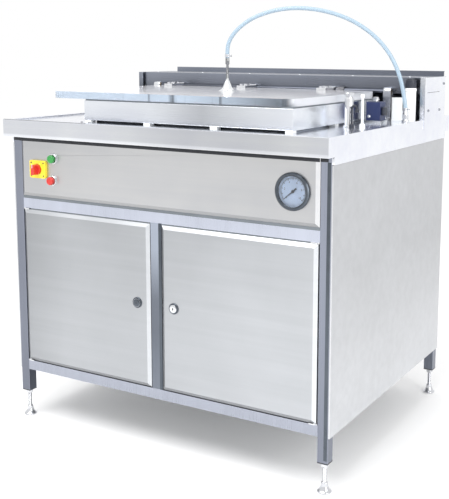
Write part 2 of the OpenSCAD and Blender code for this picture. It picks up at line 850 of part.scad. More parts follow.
// Four brackets with a fixed pivot pin each, on the rails above and below the doors
module door_hinges() {
    color("Silver") for (s = [0, 1]) mirror([s, 0, 0]) {
        px = -door_out + pivot_in;
        for (top = [0, 1]) {
            z = top ? door_z1 + hinge_gap : rail_z0 + tube;
            z1 = top ? mid_rail_z1 - tube : door_z0 - hinge_gap;
            difference() {
                block([px - bracket_in, front_y - 3, z],
                    [px - bracket_in + bracket_w, front_y + bracket_d, z1]);
                block([px - 10, front_y - 4, z - 1], [px - 3, front_y, z1 + 1]);
            }
            translate([px, pivot_y, top ? door_z1 - pin_len : z])
                cylinder(d = pivot_d, h = top ? z1 - door_z1 + pin_len : pin_len);
        }
    }
}

// A quarter-turn latch: head, barrel, and a cam that hangs down when unlocked
module latch(x) {
    cam_y = front_y + tube + 2;
    color("Silver") {
        cyl_y(x, latch_z, head_r, panel_y - head_t, panel_y - run);
        cyl_y(x, latch_z, barrel_r, panel_y - head_t, cam_y);
        block([x - cam_w / 2, cam_y, latch_z - cam_len], [x + cam_w / 2, cam_y + cam_t, latch_z + cam_w / 2]);
        cyl_y(x, latch_z, cam_nut_r, cam_y, cam_y + cam_t + cam_nut_t);
    }
}
module left_latch() { latch(left_door_x1 - latch_in); }
module right_latch() { latch(right_door_x0 + latch_in); }

// ---------------------------------------------------------------- vacuum pump

module pump_body() {
    color("LightSlateGray") {
        block([pump_x0, -60, pump_z0 + 20], [pump_x1, 160, pump_z0 + pump_top]);
        block([-50, -50, pump_z0 + pump_top], [60, 150, inlet_z - 1]);
        for (x = [-35, 145]) for (y = [-35, 135]) translate([x, y, pump_z0]) cylinder(r = 14, h = 20);
        translate([port_at.x, port_at.y, pump_z0 + pump_top])
            cylinder(r = inlet_r, h = inlet_z - pump_z0 - pump_top);
    }
}

module pump_motor() {
    color("SteelBlue") {
        cyl_x(motor_y, motor_z, motor_r, cowl_x1, pump_x0);
        cyl_x(motor_y, motor_z, motor_r + 6, cowl_x0, cowl_x1);
        block([-240, motor_y - 45, motor_z + 60], [-140, motor_y + 45, motor_z + 110]);
        for (x = [-270, -120]) block([x, motor_y - 70, pump_z0], [x + 30, motor_y + 70, motor_z - 60]);
    }
}

module exhaust_filter() {
    color("SteelBlue") {
        translate([filter_x, exhaust_y, pump_z0]) {
            cylinder(r = 60, h = 8);
            cylinder(r = exhaust_r, h = 230);
            cylinder(r = 30, h = 250);
        }
        cyl_x(exhaust_y, pump_z0 + 110, 16, pump_x1, filter_x - 40);
    }
}

// Suction pipe from the pump's inlet to the port, flanged at both ends
module vacuum_pipe() {
    color("Silver") translate([port_at.x, port_at.y, 0]) difference() {
        union() {
            translate([0, 0, inlet_z]) cylinder(r = inlet_r, h = 6);
            translate([0, 0, inlet_z]) cylinder(r = port_r + 2, h = well_z0 - inlet_z);
            translate([0, 0, well_z0 - 6]) cylinder(r = port_r + 12, h = 6);
        }
        translate([0, 0, inlet_z - 1]) cylinder(r = port_r - 1, h = well_z0 - inlet_z + 2);
    }
}

corner_posts();
frame_rails();
centre_post();
leg_plugs();
foot_nuts();
foot_front_left();
foot_front_right();
foot_rear_left();
foot_rear_right();
side_panels();
rear_panel();
cabinet_floor();
control_panel();
worktop();
rear_hood();
rear_upstand();
end_plates();
chamber_plinth();
chamber_spacers();
chamber_tub();
chamber_gasket();
filler_plate();
seal_lifters();
seal_bar();
heating_band();
lid_plate();
counter_bar();
hinge_arms();
lid_bolts();
hinge_shaft();
hinge_pedestals();
hinge_bushings();
lid_springs();
hose_stem();
vacuum_hose();
hose_socket();
filter_bowl();
filter_cap();
solenoid_coil();
valve_block();
vacuum_riser();
gauge_case();
gauge_dial();
gauge_needle();
gauge_glass();
switch_plate();
switch_knob();
button_bezels();
green_button();
red_button();
contact_blocks();
left_door();
right_door();
door_hinges();
left_latch();
right_latch();
pump_body();
pump_motor();
exhaust_filter();
vacuum_pipe();
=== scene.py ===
import json
import math

import bmesh
import bpy
from mathutils import Matrix, Vector


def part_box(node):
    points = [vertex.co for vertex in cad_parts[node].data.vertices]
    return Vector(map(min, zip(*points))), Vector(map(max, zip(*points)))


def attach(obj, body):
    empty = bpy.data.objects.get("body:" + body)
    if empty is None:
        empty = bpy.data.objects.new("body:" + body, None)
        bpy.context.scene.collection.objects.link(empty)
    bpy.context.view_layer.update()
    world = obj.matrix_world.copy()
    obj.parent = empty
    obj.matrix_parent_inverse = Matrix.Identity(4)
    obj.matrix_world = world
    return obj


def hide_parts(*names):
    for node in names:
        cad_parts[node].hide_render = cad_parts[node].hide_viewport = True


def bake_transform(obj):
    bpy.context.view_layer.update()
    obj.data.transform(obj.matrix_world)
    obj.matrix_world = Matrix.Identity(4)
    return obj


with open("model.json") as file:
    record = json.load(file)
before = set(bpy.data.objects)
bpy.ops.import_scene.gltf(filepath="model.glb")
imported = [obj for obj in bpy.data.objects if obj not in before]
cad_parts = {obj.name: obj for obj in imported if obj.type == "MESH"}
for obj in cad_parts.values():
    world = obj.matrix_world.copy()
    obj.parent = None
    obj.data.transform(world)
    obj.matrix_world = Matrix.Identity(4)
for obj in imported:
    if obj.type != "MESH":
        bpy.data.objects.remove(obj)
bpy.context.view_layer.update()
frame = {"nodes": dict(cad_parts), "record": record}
nodes = frame["nodes"]

FRONT = Vector((0, -1, 0))
BACK = Vector((0, 1, 0))
UP = Vector((0, 0, 1))
RIGHT = Vector((1, 0, 0))


# ---------------------------------------------------------------- camera

CAMERA_AT = Vector((1.45257, -2.39365, 1.12662))
YAW = math.radians(29.43)
PITCH = math.radians(-8.18)
ROLL = math.radians(0.3)
LENS = 65.45
SHIFT = (-0.0812, -0.1393)


def make_camera():
    """The camera at the photograph's viewing angle."""
    look = Vector((
        -math.sin(YAW) * math.cos(PITCH),
        math.cos(YAW) * math.cos(PITCH),
        math.sin(PITCH),
    ))
    level = Vector((math.cos(YAW), math.sin(YAW), 0))
    upright = level.cross(look)
    across = math.cos(ROLL) * level + math.sin(ROLL) * upright
    above = math.cos(ROLL) * upright - math.sin(ROLL) * level
    data = bpy.data.cameras.new("camera")
    data.lens = LENS
    data.shift_x, data.shift_y = SHIFT
    camera = bpy.data.objects.new("camera", data)
    camera.matrix_world = Matrix.Translation(CAMERA_AT) @ Matrix(
        (across, above, -look)
    ).transposed().to_4x4()
    bpy.context.scene.collection.objects.link(camera)
    bpy.context.scene.camera = camera


# ---------------------------------------------------------------- mesh helpers

def placed(at, facing):
    """A place at a point, with its own Z along facing."""
    turn = Vector(facing).to_track_quat("Z", "Y").to_matrix().to_4x4()
    return Matrix.Translation(at) @ turn


def middle(name):
    """The middle of a node's box."""
    low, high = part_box(name)
    return (low + high) / 2


def spaced(start, end, count):
    """Evenly spaced values from start to end."""
    return [start + (end - start) * k / (count - 1) for k in range(count)]


def hexagon(flat):
    """The radius of a hexagon at each angle, with its flats that far from the middle."""
    return lambda a: flat / math.cos(a % (math.pi / 3) - math.pi / 6)


def lobed(radius, depth, count):
    """The radius of a knurled or lobed rim at each angle."""
    return lambda a: radius + depth * math.cos(count * a)


def turned(bm, rings, place, segments=32):
    """Adds a closed turned body. A ring is (height, radius), where radius may depend on the angle."""
    loops = []
    for height, radius in rings:
        loop = []
        for k in range(segments):
            a = 2 * math.pi * k / segments
            r = radius(a) if callable(radius) else radius
            loop.append(bm.verts.new(place @ Vector((r * math.cos(a), r * math.sin(a), height))))
        loops.append(loop)
    for low, high in zip(loops, loops[1:]):
        for k in range(segments):
            n = (k + 1) % segments
            bm.faces.new((low[k], low[n], high[n], high[k]))
    bm.faces.new(list(reversed(loops[0])))
    bm.faces.new(loops[-1])


WASHER_ROUND = 0.3


def washer(bm, inner, outer, height, place, segments=48):
    """Adds a flat ring with its two upper edges cut off at an angle."""
    e = min(height, outer - inner) * WASHER_ROUND
    profile = [
        (inner, 0), (outer, 0), (outer, height - e), (outer - e, height), (inner + e, height),
        (inner, height - e),
    ]
    loops = []
    for radius, z in profile:
        loops.append([
            bm.verts.new(place @ Vector((
                radius * math.cos(2 * math.pi * k / segments),
                radius * math.sin(2 * math.pi * k / segments),
                z,
            )))
            for k in range(segments)
        ])
    for low, high in zip(loops, loops[1:] + loops[:1]):
        for k in range(segments):
            n = (k + 1) % segments
            bm.faces.new((low[k], low[n], high[n], high[k]))


def block(bm, size, place, rounding=0.0, steps=2):
    """Adds a box with rounded edges, centred on the place."""
    made = bmesh.ops.create_cube(bm, size=1, matrix=place @ Matrix.Diagonal((*size, 1)))
    if rounding:
        edges = list({e for v in made["verts"] for e in v.link_edges})
        bmesh.ops.bevel(
            bm, geom=edges, offset=rounding, segments=steps, affect="EDGES", profile=0.5
        )


def tube(bm, points, radius, sides=16):
    """Adds a closed round tube along the points."""
    points = [Vector(p) for p in points]
    ways = []
    for k in range(len(points)):
        before = points[max(k - 1, 0)]
        after = points[min(k + 1, len(points) - 1)]
        ways.append((after - before).normalized())
    side = ways[0].orthogonal().normalized()
    loops = []
    for point, way in zip(points, ways):
        side = (side - side.dot(way) * way).normalized()
        other = way.cross(side)
        loops.append([
            bm.verts.new(
                point
                + radius * math.cos(2 * math.pi * k / sides) * side
                + radius * math.sin(2 * math.pi * k / sides) * other
            )
            for k in range(sides)
        ])
    for low, high in zip(loops, loops[1:]):
        for k in range(sides):
            n = (k + 1) % sides
            bm.faces.new((low[k], low[n], high[n], high[k]))
    bm.faces.new(list(reversed(loops[0])))
    bm.faces.new(loops[-1])


def curved(points, steps):
    """Points along a smooth curve through the given points."""
    points = [Vector(p) for p in points]
    ends = [2 * points[0] - points[1]] + points + [2 * points[-1] - points[-2]]
    out = []
    for a, b, c, d in zip(ends, ends[1:], ends[2:], ends[3:]):
        for k in range(steps):
            t = k / steps
            out.append(0.5 * (
                2 * b
                + (c - a) * t
                + (2 * a - 5 * b + 4 * c - d) * t * t
                + (3 * b - a - 3 * c + d) * t * t * t
            ))
    return out + [points[-1]]


SHARP = math.radians(38)


def piece(name, bm, slot, body=None):
    """Makes a shown piece of the mesh, in a record slot's material, riding on a body."""
    bmesh.ops.recalc_face_normals(bm, faces=bm.faces)
    mesh = bpy.data.meshes.new(name)
    bm.to_mesh(mesh)
    bm.free()
    mesh.shade_smooth()
    mesh.set_sharp_from_angle(angle=SHARP)
    mesh.materials.append(materials[slot])
    made = bpy.data.objects.new(name, mesh)
    bpy.context.scene.collection.objects.link(made)
    if body:
        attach(made, body)
    return made


# ---------------------------------------------------------------- materials

# How alike the true and the rounded normals are on a flat face, and on a worn edge
FLAT_MATCH = 0.995
EDGE_MATCH = 0.9


class Paint:
    """Builds one procedural material, in the object's own coordinates."""

    def __init__(self, name):
        self.material = bpy.data.materials.new("look_" + name)
        self.material.use_nodes = True
        self.tree = self.material.node_tree
        self.shader = self.tree.nodes["Principled BSDF"]
        places = self.add("ShaderNodeTexCoord")
        self.place = places.outputs["Object"]
        self.turn = places.outputs["Normal"]

    def add(self, kind, inputs=None, **settings):
        """Adds a node. An input may be a plain value or another node's output."""
        node = self.tree.nodes.new(kind)
        for key, value in settings.items():
            setattr(node, key, value)
        for key, value in (inputs or {}).items():
            if isinstance(value, bpy.types.NodeSocket):
                self.tree.links.new(value, node.inputs[key])
            else:
                node.inputs[key].default_value = value
        return node

    def noise(self, stretch, detail=3.0):
        """Noise of about stretch features per metre along each axis."""
        scaled = self.add("ShaderNodeMapping", {"Vector": self.place, "Scale": stretch})
        made = self.add("ShaderNodeTexNoise", {
            "Vector": scaled.outputs[0], "Scale": 1.0, "Detail": detail,
        })
        return made.outputs["Fac"]

    def spread(self, value, low, high, start=0.3, end=0.7):
        """The value from start to end, spread over low to high."""
        made = self.add("ShaderNodeMapRange", {
            "Value": value, "From Min": start, "From Max": end, "To Min": low, "To Max": high,
        })
        return made.outputs["Result"]

    def maths(self, operation, a, b):
        return self.add("ShaderNodeMath", {0: a, 1: b}, operation=operation).outputs[0]

    def colours(self, factor, a, b):
        """Colour a where the factor is 0, and b where it is 1."""
        ends = [(*end, 1) if isinstance(end, tuple) else end for end in (a, b)]
        made = self.add("ShaderNodeMix", {0: factor, 6: ends[0], 7: ends[1]}, data_type="RGBA")
        return made.outputs[2]

    def edges(self, radius):
        """1 along worn edges, and 0 on flats."""
        soft = self.add("ShaderNodeBevel", {"Radius": radius}, samples=4).outputs["Normal"]
        true = self.add("ShaderNodeNewGeometry").outputs["Normal"]
        match = self.add("ShaderNodeVectorMath", {0: soft, 1: true}, operation="DOT_PRODUCT")
        return self.spread(match.outputs["Value"], 0.0, 1.0, FLAT_MATCH, EDGE_MATCH)

    def tone(self, colour, value, low, high, stops, share=1.0):
        """The colour, darkened by levels at stops from 0 to 1 as the value goes from low to high."""
        made = self.add("ShaderNodeValToRGB", {0: self.spread(value, 0.0, 1.0, low, high)})
        marks = made.color_ramp.elements
        while len(marks) < len(stops):
            marks.new(0.5)
        for mark, (spot, level) in zip(marks, stops):
            mark.position = spot
            mark.color = (level, level, level, 1)
        mixed = self.add("ShaderNodeMix", {0: share, 6: colour, 7: made.outputs["Color"]},
                         data_type="RGBA", blend_type="MULTIPLY")
        return mixed.outputs[2]

    def along(self, axis):
        """The place along one axis of the object, in metres."""
        return self.add("ShaderNodeSeparateXYZ", {0: self.place}).outputs[axis]

    def normal(self, axis):
        """How far the surface faces along one axis of the object, from -1 to 1."""
        return self.add("ShaderNodeSeparateXYZ", {0: self.turn}).outputs[axis]

    def faces(self, axis):
        """1 where the surface faces either way along the axis, and 0 where it lies along it."""
        return self.maths("ABSOLUTE", self.normal(axis), 0.0)

    def bump(self, height, distance):
        made = self.add("ShaderNodeBump", {"Height": height, "Distance": distance, "Strength": 1.0})
        self.set(Normal=made.outputs["Normal"])

    def set(self, **inputs):
        """Sets the shader's inputs, to plain values or to other nodes' outputs."""
        for key, value in inputs.items():
            socket = self.shader.inputs[key.replace("_", " ")]
            if isinstance(value, bpy.types.NodeSocket):
                self.tree.links.new(value, socket)
            else:
                socket.default_value = (*value, 1) if isinstance(value, tuple) else value


def shade(colour, factor):
    """The colour, lighter or darker by a factor."""
    return tuple(min(1.0, c * factor) for c in colour)


# Brushed steel: features per metre across the grain and along it, and in every direction for clouds
FINE = 900.0
FINE_ALONG = 5.0
BROAD = 45.0
BROAD_ALONG = 0.9
CLOUD = 5.0
STEEL_WEAR = 0.0015
WORN_STEEL = 1.35
# How far a face leans, right plus up, for the painted light to run from darkest to brightest
LEAN = 0.6


def steel(name, colour, rough, grain, depth=0.000015, clouds=0.08, wear=0.5, tones=(), painted_light=()):
    """Brushed sheet or tube: grain along one axis, faint clouds, and brighter worn edges.

    A tone is a gradient of lighter and darker levels: (axis, low, high, stops, axis that its faces look
    along or None).
    The last argument gives stops of painted light and shade, from faces that lean left or down up to faces
    that lean right or up."""
    p = Paint(name)
    fine = p.noise([FINE_ALONG if axis == grain else FINE for axis in "xyz"], 2.0)
    broad = p.noise([BROAD_ALONG if axis == grain else BROAD for axis in "xyz"])
    cloud = p.noise([CLOUD] * 3, 5.0)
    edge = p.maths("MULTIPLY", p.edges(STEEL_WEAR), wear)
    tone = p.maths("ADD", p.maths("MULTIPLY", broad, 0.4), p.maths("MULTIPLY", cloud, 0.6))
    flat = p.colours(p.spread(tone, 0.0, 1.0), shade(colour, 1 - clouds), shade(colour, 1 + clouds))
    for axis, low, high, stops, facing in tones:
        flat = p.tone(flat, p.along(axis), low, high, stops, p.faces(facing) if facing else 1.0)
    # Painted light and shade: faces that lean right or up lighter, faces that lean left or down darker
    if painted_light:
        flat = p.tone(flat, p.maths("ADD", p.normal("X"), p.normal("Z")), -LEAN, LEAN, painted_light)
    p.set(Base_Color=p.colours(edge, flat, shade(colour, WORN_STEEL)), Metallic=1.0)
    gloss = p.maths("ADD", p.spread(fine, -0.05, 0.05), p.spread(cloud, rough - 0.04, rough + 0.05))
    p.set(Roughness=gloss)
    p.bump(fine, depth)
    return p.material


TOOL_MARKS = [700.0, 700.0, 1800.0]
SMUDGE = 22.0
SWIRL = 0.03
SMALL_WEAR = 0.0008


def polished(name, colour, rough):
    """Bright or machined metal with faint tool marks and smudges."""
    p = Paint(name)
    marks = p.noise(TOOL_MARKS, 2.0)
    smudge = p.noise([SMUDGE] * 3, 5.0)
    edge = p.edges(SMALL_WEAR)
    flat = p.colours(p.spread(smudge, 0.0, 1.0), shade(colour, 0.9), shade(colour, 1.06))
    p.set(Base_Color=p.colours(edge, flat, shade(colour, 1.3)), Metallic=1.0)
    gloss = p.maths("ADD", p.spread(marks, -SWIRL, SWIRL), p.spread(smudge, rough, rough + 0.07))
    p.set(Roughness=gloss)
    p.bump(marks, 0.00001)
    return p.material


PLASTIC_SKIN = 900.0
PLASTIC_DRIFT = 18.0
RUBBED_TO, RUBBED_BY = 0.7, 0.25


def plastic(name, colour, rough, grain=0.00003, scale=PLASTIC_SKIN, coat=0.0):
    """Moulded plastic or rubber: a fine skin, slight colour drift and rubbed edges."""
    p = Paint(name)
    skin = p.noise([scale] * 3, 3.0)
    drift = p.noise([PLASTIC_DRIFT] * 3, 4.0)
    flat = p.colours(p.spread(drift, 0.0, 1.0), shade(colour, 0.88), shade(colour, 1.1))
    rubbed = tuple(c + (RUBBED_TO - c) * RUBBED_BY for c in colour)
    p.set(Base_Color=p.colours(p.maths("MULTIPLY", p.edges(SMALL_WEAR), 0.5), flat, rubbed))
    p.set(Roughness=p.maths("ADD", p.spread(skin, -0.05, 0.05), p.spread(drift, rough, rough + 0.06)))
    p.set(Coat_Weight=coat, Coat_Roughness=0.08)
    p.bump(skin, grain)
    return p.material


ORANGE_PEEL = 260.0
PAINT_DRIFT = 9.0
CHIPS = 70.0
CHIP_WEAR = 0.002
BARE_METAL = (0.45, 0.45, 0.46)


def painted(name, colour, rough):
    """Enamel on cast or sheet metal, with orange peel and bare metal showing at the edges."""
    p = Paint(name)
    peel = p.noise([ORANGE_PEEL] * 3, 2.0)
    drift = p.noise([PAINT_DRIFT] * 3, 5.0)
    chips = p.maths("MULTIPLY", p.edges(CHIP_WEAR), p.spread(p.noise([CHIPS] * 3), 0.0, 1.0, 0.5, 0.6))
    flat = p.colours(p.spread(drift, 0.0, 1.0), shade(colour, 0.85), shade(colour, 1.1))
    p.set(Base_Color=p.colours(chips, flat, BARE_METAL), Metallic=chips)
    p.set(Roughness=p.spread(drift, rough, rough + 0.12), Coat_Weight=0.3)
    p.bump(peel, 0.00012)
    return p.material


THREADS = 300.0
STAINS = [30.0, 120.0, 30.0]


def woven(name, colour):
    """Glass cloth tape: crossing threads under a coating."""
    p = Paint(name)
    warp, weft = [
        p.add("ShaderNodeTexWave", {"Vector": p.place, "Scale": THREADS}, bands_direction=way).outputs["Fac"]
        for way in "XY"
    ]
    cloth = p.maths("MULTIPLY", warp, weft)
    stain = p.noise(STAINS, 4.0)
    threads = p.colours(cloth, shade(colour, 0.75), shade(colour, 1.15))
    p.set(Base_Color=p.colours(p.spread(stain, 0.0, 0.6), threads, shade(colour, 0.5)))
    p.set(Roughness=0.42, Coat_Weight=0.2)
    p.bump(cloth, 0.00008)
    return p.material


WIPING = [420.0, 40.0, 420.0]
HAZE = 6.0
# A thick plate's cut edge, painted with reflection and shade: dark bands of painted reflection, painted
# shade growing towards the right, and ends painted pale as if lit
EDGE_BANDS = [26.0, 3.0, 1.0]
BAND_FROM, BAND_TO = 0.57, 0.66
REFLECTION_BAND_LEVEL = 0.25
FADE_FROM, FADE_TO = 0.05, 0.38
EDGE_SHADE_LEVELS = [(0.0, 1.0), (0.5, 0.70), (0.8, 0.38), (1.0, 0.15)]
PAINTED_END_LIGHT = (0.93, 0.95, 1.0)


def clear(name, tint, rough, index, share, scratches=0.00001, edge=None):
    """Clear plastic or glass, with fine wiping marks. Edge is the colour of a thick plate's cut edge, onto
    which dark bands of painted reflection, painted shade towards the right and pale lit ends are painted.
    """
    p = Paint(name)
    wipe = p.noise(WIPING, 3.0)
    haze = p.noise([HAZE] * 3, 4.0)
    colour = p.colours(p.spread(haze, 0.0, 1.0), shade(tint, 0.97), tint)
    if edge:
        # Painted reflection and painted shade on the cut edge
        band = p.spread(p.noise(EDGE_BANDS, 3.0), 0.0, 1.0, BAND_FROM, BAND_TO)
        cut = p.colours(band, edge, shade(edge, REFLECTION_BAND_LEVEL))
        cut = p.tone(cut, p.along("X"), FADE_FROM, FADE_TO, EDGE_SHADE_LEVELS, p.faces("Y"))
        cut = p.colours(p.spread(p.faces("X"), 0.0, 1.0, 0.5, 0.9), cut, PAINTED_END_LIGHT)
        colour = p.colours(p.spread(p.faces("Z"), 1.0, 0.0, 0.3, 0.7), colour, cut)
    p.set(Base_Color=colour)
    p.set(Transmission_Weight=share, IOR=index, Roughness=p.spread(haze, rough, rough + 0.03))
    p.bump(wipe, scratches)
    return p.material


# Painted light and shade, as if lit from the right and above: levels for faces that lean left or down, flat
# faces, and faces that lean right or up
PAINTED_LIGHT = [(0.0, 0.40), (0.35, 0.40), (0.45, 0.59), (0.55, 0.59), (0.68, 0.84), (1.0, 0.80)]

# Painted shadow and painted highlight: levels that darken a strip at the front and the left, and leave it
# bright on the right
PAINTED_SHADOW_FRONT = [(0.0, 0.04), (0.35, 0.04), (0.45, 0.06), (0.55, 0.06), (0.68, 1.0), (1.0, 1.0)]

materials = {
    # Painted shade on the frame's tubes: darker towards the bottom
    "frame_tube": steel("frame_tube", (0.55, 0.58, 0.67), 0.30, "z", wear=0.9, tones=[
        ("Z", 0.15, 0.69, [(0.0, 0.64), (0.5, 0.86), (1.0, 1.0)], None),
    ]),
    # Painted shade on the side panels: darker at mid height than at the foot and the top
    "panel_steel": steel("panel_steel", (0.62, 0.63, 0.65), 0.36, "x", tones=[
        ("Z", 0.15, 0.85, [(0.0, 1.0), (0.35, 0.84), (0.6, 0.80), (1.0, 0.92)], "X"),
    ]),
    # Painted light and shade on the doors: lighter than the side panels' steel, bevels lit by the way they
    # face, fronts darker towards the left edge
    "door_steel": steel("door_steel", (0.81, 0.835, 0.87), 0.36, "x", wear=0.2, painted_light=PAINTED_LIGHT, tones=[
        ("X", -0.50, 0.50, [(0.0, 0.74), (0.16, 0.90), (0.5, 0.90), (0.8, 0.98), (1.0, 1.0)], "Y"),
    ]),
    # Painted light and shade on the control panel: lighter still than the doors' steel, bevels lit by the
    # way they face, front darker at both ends
    "control_steel": steel("control_steel", (0.95, 0.965, 1.0), 0.36, "x", wear=0.2, painted_light=PAINTED_LIGHT, tones=[
        ("X", -0.50, 0.50, [(0.0, 0.92), (0.3, 1.0), (0.5, 1.0), (0.75, 0.96), (1.0, 0.92)], "Y"),
    ]),
    # Painted shade on the corner posts: darker than the rails' steel, darker still towards the bottom and
    # the left
    "post_steel": steel("post_steel", (0.34, 0.365, 0.44), 0.32, "z", wear=0.6, tones=[
        ("Z", 0.15, 0.85, [(0.0, 0.64), (0.5, 0.78), (1.0, 0.97)], None),
        ("X", -0.52, 0.52, [(0.0, 0.84), (0.5, 1.0), (1.0, 1.0)], None),
    ]),
    # Painted shade on the centre post: darker than the rails' steel, darkest low down and lighter towards
    # the top
    "centre_steel": steel("centre_steel", (0.40, 0.44, 0.52), 0.32, "z", wear=0.3, tones=[
        ("Z", 0.18, 0.65, [(0.0, 0.46), (0.35, 0.36), (0.55, 0.40), (0.85, 0.92), (1.0, 1.0)], None),
    ]),
    "inner_steel": steel("inner_steel", (0.50, 0.51, 0.52), 0.45, "x"),
    # Painted light and shade on the worktop's front: a light strip along the apron's foot, darker above it,
    # and darker towards the right
    "top_steel": steel("top_steel", (0.89, 0.91, 1.0), 0.20, "x", tones=[
        ("Z", 0.870, 0.920, [(0.0, 1.0), (0.12, 1.0), (0.20, 0.78), (1.0, 0.78)], "Y"),
        ("X", -0.53, 0.53, [
            (0.0, 1.0), (0.3, 1.0), (0.45, 0.90), (0.6, 0.80), (0.85, 0.78), (1.0, 0.88),
        ], "Y"),
    ]),
    # Painted shadow across the chamber plinth's front and left, and a painted highlight on its right
    "plinth_steel": steel("plinth_steel", (0.62, 0.66, 0.74), 0.30, "x", wear=0.1, painted_light=PAINTED_SHADOW_FRONT),
    # Painted shade on the hood's front: darker towards the bottom and towards the right
    "hood_steel": steel("hood_steel", (0.26, 0.28, 0.33), 0.30, "x", tones=[
        ("Z", 1.00, 1.045, [(0.0, 0.62), (0.5, 0.82), (1.0, 1.0)], "Y"),
        ("X", -0.50, 0.52, [(0.0, 1.0), (0.6, 0.92), (1.0, 0.66)], "Y"),
    ]),
    # Painted shade on the chamber's front: darkest right of the middle, lighter at both ends
    "chamber_steel": steel("chamber_steel", (0.86, 0.89, 0.97), 0.22, "x", tones=[
        ("X", -0.30, 0.39, [(0.0, 0.92), (0.35, 0.84), (0.6, 0.58), (1.0, 0.92)], "Y"),
    ]),
    "black_rubber": plastic("black_rubber", (0.022, 0.024, 0.030), 0.6, 0.00008, 500.0),
    "white_plastic": plastic("white_plastic", (0.86, 0.88, 0.88), 0.35),
    "silicone": plastic("silicone", (0.16, 0.18, 0.20), 0.5),
    "red_silicone": plastic("red_silicone", (0.42, 0.07, 0.04), 0.5),
    "seal_aluminium": steel("seal_aluminium", (0.78, 0.79, 0.80), 0.33, "x"),
    "seal_tape": woven("seal_tape", (0.42, 0.29, 0.16)),
    "machined_steel": polished("machined_steel", (0.74, 0.75, 0.77), 0.16),
    "fastener_steel": polished("fastener_steel", (0.66, 0.67, 0.70), 0.18),
    # The lid's clear plate; its cut edge carries painted reflection and painted shade
    "clear_acrylic": clear("clear_acrylic", (0.95, 0.95, 0.985), 0.10, 1.49, 0.45, edge=(0.62, 0.73, 0.86)),
    "hose_clear": clear("hose_clear", (0.47, 0.60, 0.71), 0.18, 1.42, 0.30),
    "bronze": polished("bronze", (0.68, 0.46, 0.20), 0.22),
    "spring_steel": polished("spring_steel", (0.30, 0.30, 0.32), 0.25),
    "black_plastic": plastic("black_plastic", (0.018, 0.022, 0.035), 0.4),
    "navy_plastic": plastic("navy_plastic", (0.012, 0.022, 0.085), 0.35),
    "gauge_metal": polished("gauge_metal", (0.105, 0.12, 0.14), 0.26),
    "stem_steel": steel("stem_steel", (0.86, 0.88, 0.90), 0.18, "z", tones=[
        ("Z", 1.003, 1.101, [(0.0, 1.0), (0.30, 1.0), (0.40, 0.34), (1.0, 0.34)], None),
    ]),
    "dark_shaft": polished("dark_shaft", (0.13, 0.14, 0.17), 0.30),
    "dial_face": plastic("dial_face", (0.60, 0.71, 0.90), 0.5, 0.00001),
    "needle_black": plastic("needle_black", (0.03, 0.035, 0.05), 0.4),
    "gauge_glass": clear("gauge_glass", (0.96, 0.98, 1.0), 0.0, 1.45, 1.0, 0.0),
    "yellow_plastic": plastic("yellow_plastic", (0.90, 0.72, 0.04), 0.3, coat=0.3),
    "red_plastic": plastic("red_plastic", (0.62, 0.03, 0.02), 0.25, coat=0.5),
    "green_plastic": plastic("green_plastic", (0.03, 0.32, 0.06), 0.25, coat=0.5),
    "bezel_chrome": polished("bezel_chrome", (0.74, 0.76, 0.78), 0.12),
    "latch_metal": polished("latch_metal", (0.30, 0.31, 0.34), 0.2),
    "pump_paint": painted("pump_paint", (0.30, 0.34, 0.38), 0.4),
    "motor_paint": painted("motor_paint", (0.06, 0.15, 0.30), 0.35),
}


# How far each node's sharp edges are rounded, in metres
SOFTENED = {
    "corner_posts": 0.0009, "frame_rails": 0.0009, "centre_post": 0.0009, "worktop": 0.0009,
    "chamber_tub": 0.0012, "chamber_plinth": 0.001, "chamber_spacers": 0.001, "pump_body": 0.006,
    "switch_plate": 0.001, "valve_block": 0.0015, "hinge_arms": 0.001, "counter_bar": 0.001,
}
THIN_EDGE = 0.0005
SOFT_STEPS = 2
SOFT_ANGLE = math.radians(50)
WELD_WITHIN = 0.00001
UNSOFTENED = ("vacuum_hose", "lid_springs", "gauge_glass", "gauge_dial", "heating_band")
# Nodes whose look differs from the rest of their slot: the coil's own colour, and for the doors, the control
# panel, the posts and the plinth, lighter or darker copies of their slot's metal as painted light and shade
OWN_OR_SHADED_LOOK = {
    "chamber_plinth": "plinth_steel", "left_door": "door_steel", "right_door": "door_steel",
    "control_panel": "control_steel", "corner_posts": "post_steel", "centre_post": "centre_steel",
    "hinge_shaft": "dark_shaft", "hose_stem": "stem_steel", "solenoid_coil": "navy_plastic",
}


def dress_nodes():
    """Gives every CAD node its material and its slot, and softens its sharp edges."""
    for part in frame["record"]["subparts"]:
        name, slot = part["node"], part["material_slot"]
        node = nodes[name]
        node.data.materials.clear()
        node.data.materials.append(materials[OWN_OR_SHADED_LOOK.get(name, slot)])
        if name in UNSOFTENED:
            continue
        weld = node.modifiers.new("joined", "WELD")
        weld.merge_threshold = WELD_WITHIN
        soft = node.modifiers.new("softened", "BEVEL")
        soft.width = SOFTENED.get(name, THIN_EDGE)
        soft.segments = SOFT_STEPS
        soft.limit_method = "ANGLE"
        soft.angle_limit = SOFT_ANGLE
        soft.use_clamp_overlap = True


# ---------------------------------------------------------------- hose

MM = 0.001
STEM = Vector((0, -53)) * MM
SOCKET = Vector((495, 145)) * MM
HOSE_WIDTH = 12 * MM
HOSE_SIDES = 20
# Distance from the stem towards the socket, and height, in millimetres
HOSE_ROUTE = [
    (0, 1101), (0, 1117), (1.5, 1136), (8, 1155), (21, 1175), (41, 1195), (68, 1214), (100, 1229),
    (136, 1240), (174, 1246.5), (213, 1248.5), (252, 1246), (291, 1239.5), (329, 1229),
    (366, 1214.5), (401, 1195), (433, 1171.5), (462, 1143), (486, 1110.5), (504.5, 1075),
    (518, 1037), (526.5, 1000), (531.5, 972), (533.1, 958), (533.1, 950),
]
HOSE_STEPS = 4


